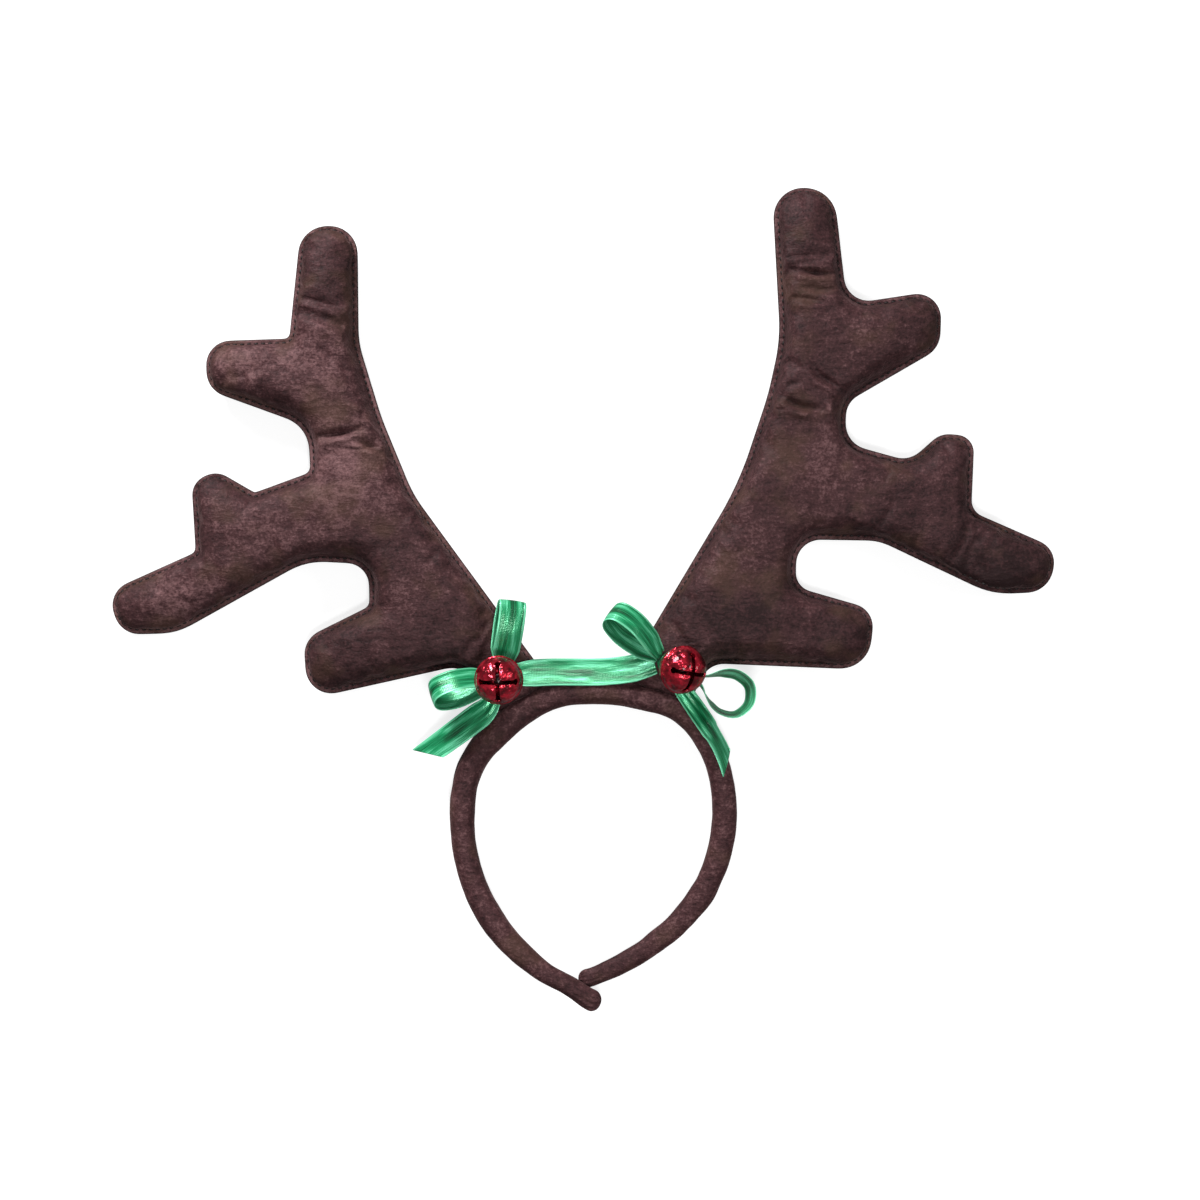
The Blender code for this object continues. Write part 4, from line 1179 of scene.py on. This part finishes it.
def satin(name):
    finish = Finish(name, metallic=0.30, specular_ior_level=0.8, sheen_weight=0.10,
                    sheen_roughness=0.3, sheen_tint=(0.55, 1.0, 0.78), anisotropic=0.5)
    weave = finish.node("ShaderNodeUVMap", {"uv_map": "weave"})
    parts = finish.node("ShaderNodeSeparateXYZ", inputs={"Vector": weave})
    along = Signal(finish, parts.socket.node.outputs["X"])
    across = Signal(finish, parts.socket.node.outputs["Y"])

    def drawn_out(scale_along, scale_across, detail):
        stretched = {"X": along * scale_along, "Y": across * scale_across}
        return finish.noise(finish.node("ShaderNodeCombineXYZ", inputs=stretched), 1.0, detail)

    floats = drawn_out(60.0, 5200.0, 1.0)
    fold_streaks_and_painted_sheen = drawn_out(38.0, 260.0, 3.0)
    ribs = finish.math("SINE", along * 9000.0)
    from_middle = finish.math("ABSOLUTE", across - 0.5 * RIBBON_WIDTH)
    border_and_painted_highlight = finish.ease(from_middle, 0.5 * RIBBON_WIDTH - 0.0012, 0.5 * RIBBON_WIDTH - 0.0008)
    # the dark stop is painted shade and the mint stop painted highlight around the ribbon's own green, laid
    # along the fold streaks and the floats
    greens_painted_shade_to_highlight = ((0.001, 0.065, 0.022), (0.009, 0.300, 0.112), (0.200, 0.840, 0.500))
    green_with_painted_sheen = finish.ramp(floats * 0.25 + fold_streaks_and_painted_sheen * 0.75, *zip((0.37, 0.50, 0.63), greens_painted_shade_to_highlight))
    # the raised woven border is painted lighter as a highlight
    green_with_painted_sheen = finish.blend(border_and_painted_highlight * 0.62, green_with_painted_sheen, (0.190, 0.760, 0.450))
    relief = fold_streaks_and_painted_sheen * 4.0 + floats * 0.5 + ribs * 0.10 + border_and_painted_highlight * 1.5
    return finish.surface(green_with_painted_sheen, 0.20 + floats * 0.14 + border_and_painted_highlight * 0.12, relief, 0.00014, 0.8)


green_satin = satin("green_satin")
print("satin finish:", green_satin.name)

# %% [markdown]
# ## A strip of ribbon
# Every strip follows a path, with a direction for its width at each point. Where a knot gathers it, the
# width folds into pleats instead of shrinking, so the strip keeps its cloth. The sheet is drawn flat as
# a grid with its UV map, then Solidify gives it 0.35 mm of thickness.

# %% Ribbon strips
RIBBON_THICKNESS = 0.00035
RIBBON_COLUMNS = 17
PLEATS = 3


def ribbon(name, node, path, sides, narrow, cut=0.0, bow=0.0):
    """A strip of ribbon that stands for a node. sides: which way the width runs at each point of the
    path. narrow: share of the full width there, 1 where the ribbon lies open. cut: how far each edge
    is longer or shorter than the middle at the far end, and bow: how far the middle stands out, both
    in widths."""
    count = len(path)
    corners = []
    places = []
    travelled = 0.0
    for i, point in enumerate(path):
        before = path[max(i - 1, 0)]
        after = path[min(i + 1, count - 1)]
        along = (after - before).normalized()
        side = (sides[i] - along * sides[i].dot(along)).normalized()
        face = along.cross(side)
        open_share = min(1.0, max(0.2, narrow[i]))
        fold = 0.42 * RIBBON_WIDTH * (1.0 - open_share) / PLEATS
        if i > 0:
            travelled += (point - path[i - 1]).length
        near_end = max(0.0, (i / (count - 1) - 0.8) / 0.2)
        for k in range(RIBBON_COLUMNS):
            share = k / (RIBBON_COLUMNS - 1)
            from_middle = 2.0 * share - 1.0
            pleat = fold * math.cos(2.0 * math.pi * PLEATS * share)
            curl = bow * RIBBON_WIDTH * (1.0 - from_middle**2) * open_share
            slant = cut * RIBBON_WIDTH * from_middle * near_end
            place = point + side * (0.5 * RIBBON_WIDTH * open_share * from_middle)
            place = place + face * (pleat + curl) + along * slant
            corners.append(tuple(place))
            places.append((travelled + slant, share * RIBBON_WIDTH))
    faces = []
    for i in range(count - 1):
        for k in range(RIBBON_COLUMNS - 1):
            a = i * RIBBON_COLUMNS + k
            faces.append((a, a + 1, a + 1 + RIBBON_COLUMNS, a + RIBBON_COLUMNS))
    mesh = bpy.data.meshes.new(name)
    mesh.from_pydata(corners, [], faces)
    weave = mesh.uv_layers.new(name="weave")
    for loop in mesh.loops:
        weave.data[loop.index].uv = places[loop.vertex_index]
    piece = add_piece(name, mesh, green_satin)
    solid = piece.modifiers.new("thickness", "SOLIDIFY")
    solid.thickness = RIBBON_THICKNESS
    solid.offset = 0.0
    apply_modifiers(piece)
    smooth_once(piece)
    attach(piece, "root")
    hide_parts(node)
    print(name, "length in mm:", round(travelled / MM, 1))


# %% [markdown]
# ## Bows
# Each bow has two loops, a tail and a knot that the bell hides. A loop leaves the knot, opens, turns at
# its far end and comes back under itself. The table gives each loop its heading, reach and opening, and
# how far its plane is rolled: an upright loop shows its face, a flat one only its edge.

# %% Loops
LOOP_REACH = 0.034
KNOTS = {
    "left": Vector((-0.035754, -0.033806, 0.022214)),
    "right": Vector((0.036548, -0.028356, 0.022950)),
}
KNOT_WIDTH = 0.0085
KNOT_DEPTH = 0.0055
KNOT_CORNER = 0.0046
# station, share of the way round, out as a share of the reach, spread as a share of the opening
LOOP_TABLE = (
    ("leaves the knot", 0.00, 0.12, 0.05),
    ("opens", 0.14, 0.38, 0.66),
    ("widest", 0.30, 0.72, 1.00),
    ("turns", 0.42, 0.95, 0.62),
    ("far end", 0.50, 1.00, 0.00),
    ("turns back", 0.58, 0.95, -0.62),
    ("widest again", 0.70, 0.72, -1.00),
    ("closes", 0.86, 0.38, -0.66),
    ("meets the knot", 1.00, 0.12, -0.05),
)

# The right bow's ring loop runs out from the knot with its two ends side by side, then opens round.
RING_TABLE = (
    ("leaves the knot", 0.00, 0.12, 0.07),
    ("neck", 0.17, 0.44, 0.24),
    ("opens", 0.26, 0.60, 0.78),
    ("widest", 0.36, 0.78, 1.00),
    ("turns", 0.45, 0.95, 0.64),
    ("far end", 0.50, 1.00, 0.00),
    ("turns back", 0.55, 0.95, -0.64),
    ("widest again", 0.64, 0.78, -1.00),
    ("closes", 0.74, 0.60, -0.78),
    ("neck again", 0.83, 0.44, -0.24),
    ("meets the knot", 1.00, 0.12, -0.07),
)
RING_MIDDLE = 0.78
# part, side, heading, reach, opening, roll, forward, pitch, flare, with the angles in degrees
LOOPS = (
    ("upper_loop", "left", 81.0, 0.97, 0.13, 14.0, 0.20, 6.0, 0.0),
    ("outer_loop", "left", 196.0, 0.92, 0.19, 42.0, 0.32, 5.0, 0.0),
    ("upper_loop", "right", 138.0, 0.98, 0.19, 40.0, 0.26, 6.0, 0.0),
    ("ring_loop", "right", -26.0, 1.17, 0.22, 84.0, 0.13, -1.0, 0.3),
)
LOOP_STATIONS = 64


def bow_loop(part, side, heading, reach, opening, roll, forward, pitch, flare):
    size = LOOP_REACH * reach
    knot = KNOTS[side]
    shares = numpy.linspace(0.0, 1.0, LOOP_STATIONS)
    table = RING_TABLE if part == "ring_loop" else LOOP_TABLE
    outs = numpy.maximum(curve_through(table, 2, shares) * size, KNOT_CORNER + CLEAR)
    spreads = curve_through(table, 3, shares) * size * opening
    turned = Matrix.Rotation(math.radians(heading), 3, "Z")
    turned = turned @ Matrix.Rotation(-math.radians(pitch), 3, "Y")
    turned = turned @ Matrix.Rotation(math.radians(roll), 3, "X")
    start = knot + Vector((0.0, 0.0, 0.18 * KNOT_DEPTH))
    path = []
    sides = []
    narrow = []
    for out, spread in zip(outs, spreads):
        lift = Vector((0.0, 0.0, forward * RIBBON_WIDTH * min(1.0, out / (0.6 * size))))
        path.append(start + turned @ Vector((out, 0.0, spread)) + lift)
        outward = Vector((out - RING_MIDDLE * size, 0.0, spread)).normalized()
        leaning = flare * min(1.0, max(0.0, (out / size - 0.44) / 0.2))
        sides.append(turned @ (Vector((0.0, 1.0, 0.0)) + outward * leaning))
        narrow.append(min(1.0, 0.55 + 0.45 * (out - 0.12 * size) / (0.22 * size)))
    node = f"bow_{side}_{part}"
    ribbon(f"{node}_ribbon", node, path, sides, narrow, bow=0.03)


for part, side, *sizes in LOOPS:
    bow_loop(part, side, *sizes)

# %% [markdown]
# ## Tails and crown ribbon
# The left tail hangs outwards beside the band and is cut on a slant. The right tail runs down the outer
# front edge of the band. The crown ribbon leans on the front of the crown between the two knots.

# %% Strips
STRIP_STATIONS = 48
TAIL_LENGTH = 0.042
TAIL_SET_IN = 0.0015
# station, share of the way, then the offset from the start along x, y and z in tail lengths
LEFT_TAIL_TABLE = (
    ("beside the knot", 0.00, 0.00, 0.00, 0.00),
    ("over the band's edge", 0.24, -0.10, -0.22, 0.01),
    ("leaves the band", 0.45, -0.27, -0.36, -0.03),
    ("middle", 0.72, -0.51, -0.54, -0.11),
    ("cut end", 1.00, -0.74, -0.71, -0.20),
)


def beside_knot(side, heading):
    """Where a strip starts: beside the knot, in the layer below the loops."""
    angle = math.radians(heading)
    away = Vector((math.cos(angle), math.sin(angle), 0.0)) * (KNOT_CORNER + 2.0 * CLEAR)
    start = KNOTS[side] + away
    start.z = KNOTS[side].z - 0.5 * KNOT_DEPTH + 0.0008
    return start


def left_tail():
    start = beside_knot("left", 250.0)
    shares = numpy.linspace(0.0, 1.0, STRIP_STATIONS)
    columns = [curve_through(LEFT_TAIL_TABLE, column, shares) * TAIL_LENGTH for column in (2, 3, 4)]
    path = [start + Vector(place) for place in zip(*columns)]
    sides = [Vector((0.62, -0.72, 0.34 - 0.3 * share + 0.9 * max(0.0, share - 0.5))) for share in shares]
    narrow = [min(1.0, 0.5 + 1.5 * share) for share in shares]
    ribbon("bow_left_tail_ribbon", "bow_left_tail", path, sides, narrow, cut=-0.50, bow=0.05)


def right_tail():
    path = []
    sides = []
    narrow = []
    start = beside_knot("right", -64.0)
    for k in range(STRIP_STATIONS):
        share = k / (STRIP_STATIONS - 1)
        turn = 38.0 + 26.0 * share
        outward = band_outward(turn)
        resting = band_middle(turn) + outward * (band_half_thickness(turn) - TAIL_SET_IN)
        resting.z = band_height(turn) + band_half_depth(turn) + CLEAR
        point = start.lerp(resting, min(1.0, share / 0.40))
        point.z = start.z + (resting.z - start.z) * min(1.0, share / 0.55)
        path.append(point)
        turned = min(1.0, share / 0.50)
        sides.append(outward * (1.0 - 0.4 * turned) + Vector((0.0, 0.0, -0.8 * turned)))
        narrow.append(min(1.0, 0.45 + 1.3 * share))
    ribbon("bow_right_tail_ribbon", "bow_right_tail", path, sides, narrow, cut=-0.42, bow=0.04)


def crown_ribbon():
    start = beside_knot("left", 0.0)
    end = beside_knot("right", 180.0)
    front = BAND_DEPTH + 0.0006
    crown = band_middle(0.0) + band_outward(0.0) * band_half_thickness(0.0)
    path = []
    narrow = []
    for k in range(STRIP_STATIONS):
        share = k / (STRIP_STATIONS - 1)
        point = start.lerp(end, share)
        lean = math.sin(math.pi * share)
        point.z = point.z + (front - point.z) * lean
        point.y = point.y + (crown.y + 0.28 * RIBBON_WIDTH - point.y) * lean
        path.append(point)
        narrow.append(min(1.0, 0.80 + 1.4 * min(share, 1.0 - share)))
    sides = [Vector((0.0, 1.0, 0.0))] * STRIP_STATIONS
    ribbon("crown_ribbon_satin", "crown_ribbon", path, sides, narrow, bow=0.04)


left_tail()
right_tail()
crown_ribbon()

# %% [markdown]
# ## Knots
# Ribbon is wound twice round the middle of each bow. A cylinder is cut into layers, the layers are
# pulled in between the turns, and the side is pleated as tight satin is.

# %% Knots


def knot(side):
    clear_selection()
    place = KNOTS[side]
    bpy.ops.mesh.primitive_cylinder_add(
        vertices=40, radius=0.5 * KNOT_WIDTH, depth=KNOT_DEPTH, location=place)
    piece = bpy.context.object
    piece.name = f"bow_{side}_knot_ribbon"
    bpy.ops.object.transform_apply(location=True, rotation=False, scale=False)
    heights = [place.z + KNOT_DEPTH * (layer / 12 - 0.5) for layer in range(1, 12)]
    slice_mesh(piece, [((0.0, 0.0, height), (0.0, 0.0, 1.0)) for height in heights])
    for vertex in piece.data.vertices:
        offset = vertex.co - place
        share = 2.0 * offset.z / KNOT_DEPTH
        angle = math.atan2(offset.y, offset.x)
        rounded = math.sqrt(max(0.0, 1.0 - 0.62 * share**4))
        turns = 1.0 - 0.05 * abs(math.cos(1.5 * math.pi * share + 0.4 * math.sin(angle)))
        pleats = 1.0 + 0.035 * math.sin(9.0 * angle + 2.0 * share)
        vertex.co.x = place.x + offset.x * rounded * turns * pleats
        vertex.co.y = place.y + offset.y * rounded * turns * pleats
    weave = piece.data.uv_layers.new(name="weave")
    for loop in piece.data.loops:
        offset = piece.data.vertices[loop.vertex_index].co - place
        angle = math.atan2(offset.y, offset.x)
        weave.data[loop.index].uv = (angle * 0.5 * KNOT_WIDTH, 0.5 * RIBBON_WIDTH + offset.z)
    piece.data.materials.clear()
    piece.data.materials.append(green_satin)
    bevel = piece.modifiers.new("rounded", "BEVEL")
    bevel.width = 0.0004
    bevel.segments = 2
    bevel.limit_method = "ANGLE"
    apply_modifiers(piece)
    piece.data.shade_smooth()
    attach(piece, "root")
    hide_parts(f"bow_{side}_knot")
    print(piece.name, "faces:", len(piece.data.polygons))


for side in KNOTS:
    knot(side)

# %% [markdown]
# ## Jingle bells
# A jingle bell is two thin pressed caps crimped together round the equator. The lower cap has two
# crossed slots that end in round holes, and a loose steel pellet rattles inside. A sphere is sliced
# along the slots and beside the equator, the strips between the cuts are deleted, the lips are pressed
# in a little, the crimp is pulled out, and four pegs cut the holes. The finish is red lacquer over
# bright metal, crinkled so that it glitters.

# %% Red lacquer, brass and steel
lacquer = Finish("red_lacquer", metallic=0.70, coat_weight=0.3, coat_roughness=0.10)
crinkles = lacquer.speckle(lacquer.place(), 0.0026, 1.0)
mist = lacquer.speckle(lacquer.place(), 0.0040, 2.0)
reds = ((0.080, 0.002, 0.005), (0.30, 0.004, 0.016), (0.58, 0.016, 0.038))
red = lacquer.ramp(mist, *zip((0.35, 0.5, 0.65), reds))
red_lacquer = lacquer.surface(red, 0.16 + mist * 0.14, crinkles, 0.0016, 0.9)


def bare_metal(name, bright, dull, grain, roughness, more_where_dull, depth):
    metal = Finish(name, metallic=1.0)
    wear = metal.speckle(metal.place(), grain)
    colour = metal.blend(wear, bright, dull)
    return metal.surface(colour, roughness + wear * more_where_dull, wear, depth, 0.4)


brass = bare_metal("brass_wire", (0.62, 0.42, 0.15), (0.30, 0.17, 0.06), 0.0015, 0.22, 0.25, 0.00004)
steel = bare_metal("steel_pellet", (0.34, 0.33, 0.32), (0.16, 0.155, 0.15), 0.0012, 0.20, 0.30, 0.00003)
print("bell finishes:", red_lacquer.name, brass.name, steel.name)

# %% The bells
BELL_RADIUS = 0.0102
BELL_WALL = 0.0006
SLOT_WIDTH = 0.0018
SLOT_HOLE_RADIUS = 0.0014
SLOT_SPREAD = math.radians(52)
LIP_REACH = 0.0017
LIP_SHARE = 0.045
LIP_BELOW_SLOT = 0.0015
CRIMP_HALF = 0.00045
CRIMP_SHARE = 1.04
PEG_LENGTH = 0.006
# centre, the way the slots face, turn about that in radians
BELLS = {
    "left": (Vector((-0.036198, -0.035288, 0.039783)), Vector((-0.03, -0.10, 1.0)).normalized(), 0.3),
    "right": (Vector((0.042937, -0.030882, 0.038922)), Vector((0.43, -0.17, 0.89)).normalized(), 0.2),
}


def cutting_peg(place, radius, depth):
    clear_selection()
    bpy.ops.mesh.primitive_cylinder_add(vertices=20, radius=radius, depth=depth)
    peg = bpy.context.object
    peg.matrix_world = place
    return peg


def cut_away(piece, tools):
    for tool in tools:
        cut = piece.modifiers.new(tool.name, "BOOLEAN")
        cut.operation = "DIFFERENCE"
        cut.solver = "EXACT"
        cut.object = tool
    apply_modifiers(piece)
    for tool in tools:
        bpy.data.objects.remove(tool, do_unlink=True)


def bell(side):
    centre, axis, spin = BELLS[side]
    turned = axis.to_track_quat("Z", "Y").to_matrix().to_4x4() @ Matrix.Rotation(spin, 4, "Z")
    place = Matrix.Translation(centre) @ turned
    clear_selection()
    bpy.ops.mesh.primitive_uv_sphere_add(segments=64, ring_count=40, radius=BELL_RADIUS)
    shell = bpy.context.object
    shell.name = f"bell_{side}_shell"
    half = 0.5 * SLOT_WIDTH
    low = BELL_RADIUS * math.cos(SLOT_SPREAD)
    spread = BELL_RADIUS * math.sin(SLOT_SPREAD)
    planes = [((0.0, 0.0, height), (0.0, 0.0, 1.0)) for height in (-CRIMP_HALF, CRIMP_HALF)]
    planes += [((offset, 0.0, 0.0), (1.0, 0.0, 0.0)) for offset in (-half, half)]
    planes += [((0.0, offset, 0.0), (0.0, 1.0, 0.0)) for offset in (-half, half)]
    slice_mesh(shell, planes)
    for face in shell.data.polygons:
        across, along = sorted((abs(face.center.x), abs(face.center.y)))
        face.select = face.center.z > low and across < half and along < spread
    bpy.ops.object.mode_set(mode="EDIT")
    bpy.ops.mesh.delete(type="FACE")
    bpy.ops.object.mode_set(mode="OBJECT")
    for vertex in shell.data.vertices:
        if abs(vertex.co.z) < 0.5 * CRIMP_HALF:
            vertex.co.x *= CRIMP_SHARE
            vertex.co.y *= CRIMP_SHARE
        if vertex.co.z > low - LIP_BELOW_SLOT:
            near_slot = min(abs(vertex.co.x), abs(vertex.co.y))
            vertex.co *= 1.0 - LIP_SHARE * math.exp(-((near_slot / LIP_REACH) ** 2))
    wall = shell.modifiers.new("wall", "SOLIDIFY")
    wall.thickness = BELL_WALL
    wall.offset = -1.0
    apply_modifiers(shell)
    tools = []
    for k in range(4):
        tilt = Matrix.Rotation(0.5 * math.pi * k, 4, "Z") @ Matrix.Rotation(SLOT_SPREAD, 4, "Y")
        seat = tilt @ Matrix.Translation((0.0, 0.0, BELL_RADIUS))
        tools.append(cutting_peg(seat, SLOT_HOLE_RADIUS, PEG_LENGTH))
    cut_away(shell, tools)
    bevel = shell.modifiers.new("lips", "BEVEL")
    bevel.width = 0.00024
    bevel.segments = 2
    bevel.limit_method = "ANGLE"
    bevel.angle_limit = math.radians(50)
    apply_modifiers(shell)
    shell.data.transform(place)
    shell.matrix_world = Matrix.Identity(4)
    shell.data.materials.clear()
    shell.data.materials.append(red_lacquer)
    show_alone(shell)
    bpy.ops.object.shade_smooth_by_angle(angle=math.radians(38))
    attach(shell, "root")
    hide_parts(f"bell_{side}")
    print(shell.name, "faces:", len(shell.data.polygons))


for side in BELLS:
    bell(side)
    for part, metal in (("shank", brass), ("pellet", steel)):
        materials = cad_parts[f"bell_{side}_{part}"].data.materials
        materials.clear()
        materials.append(metal)
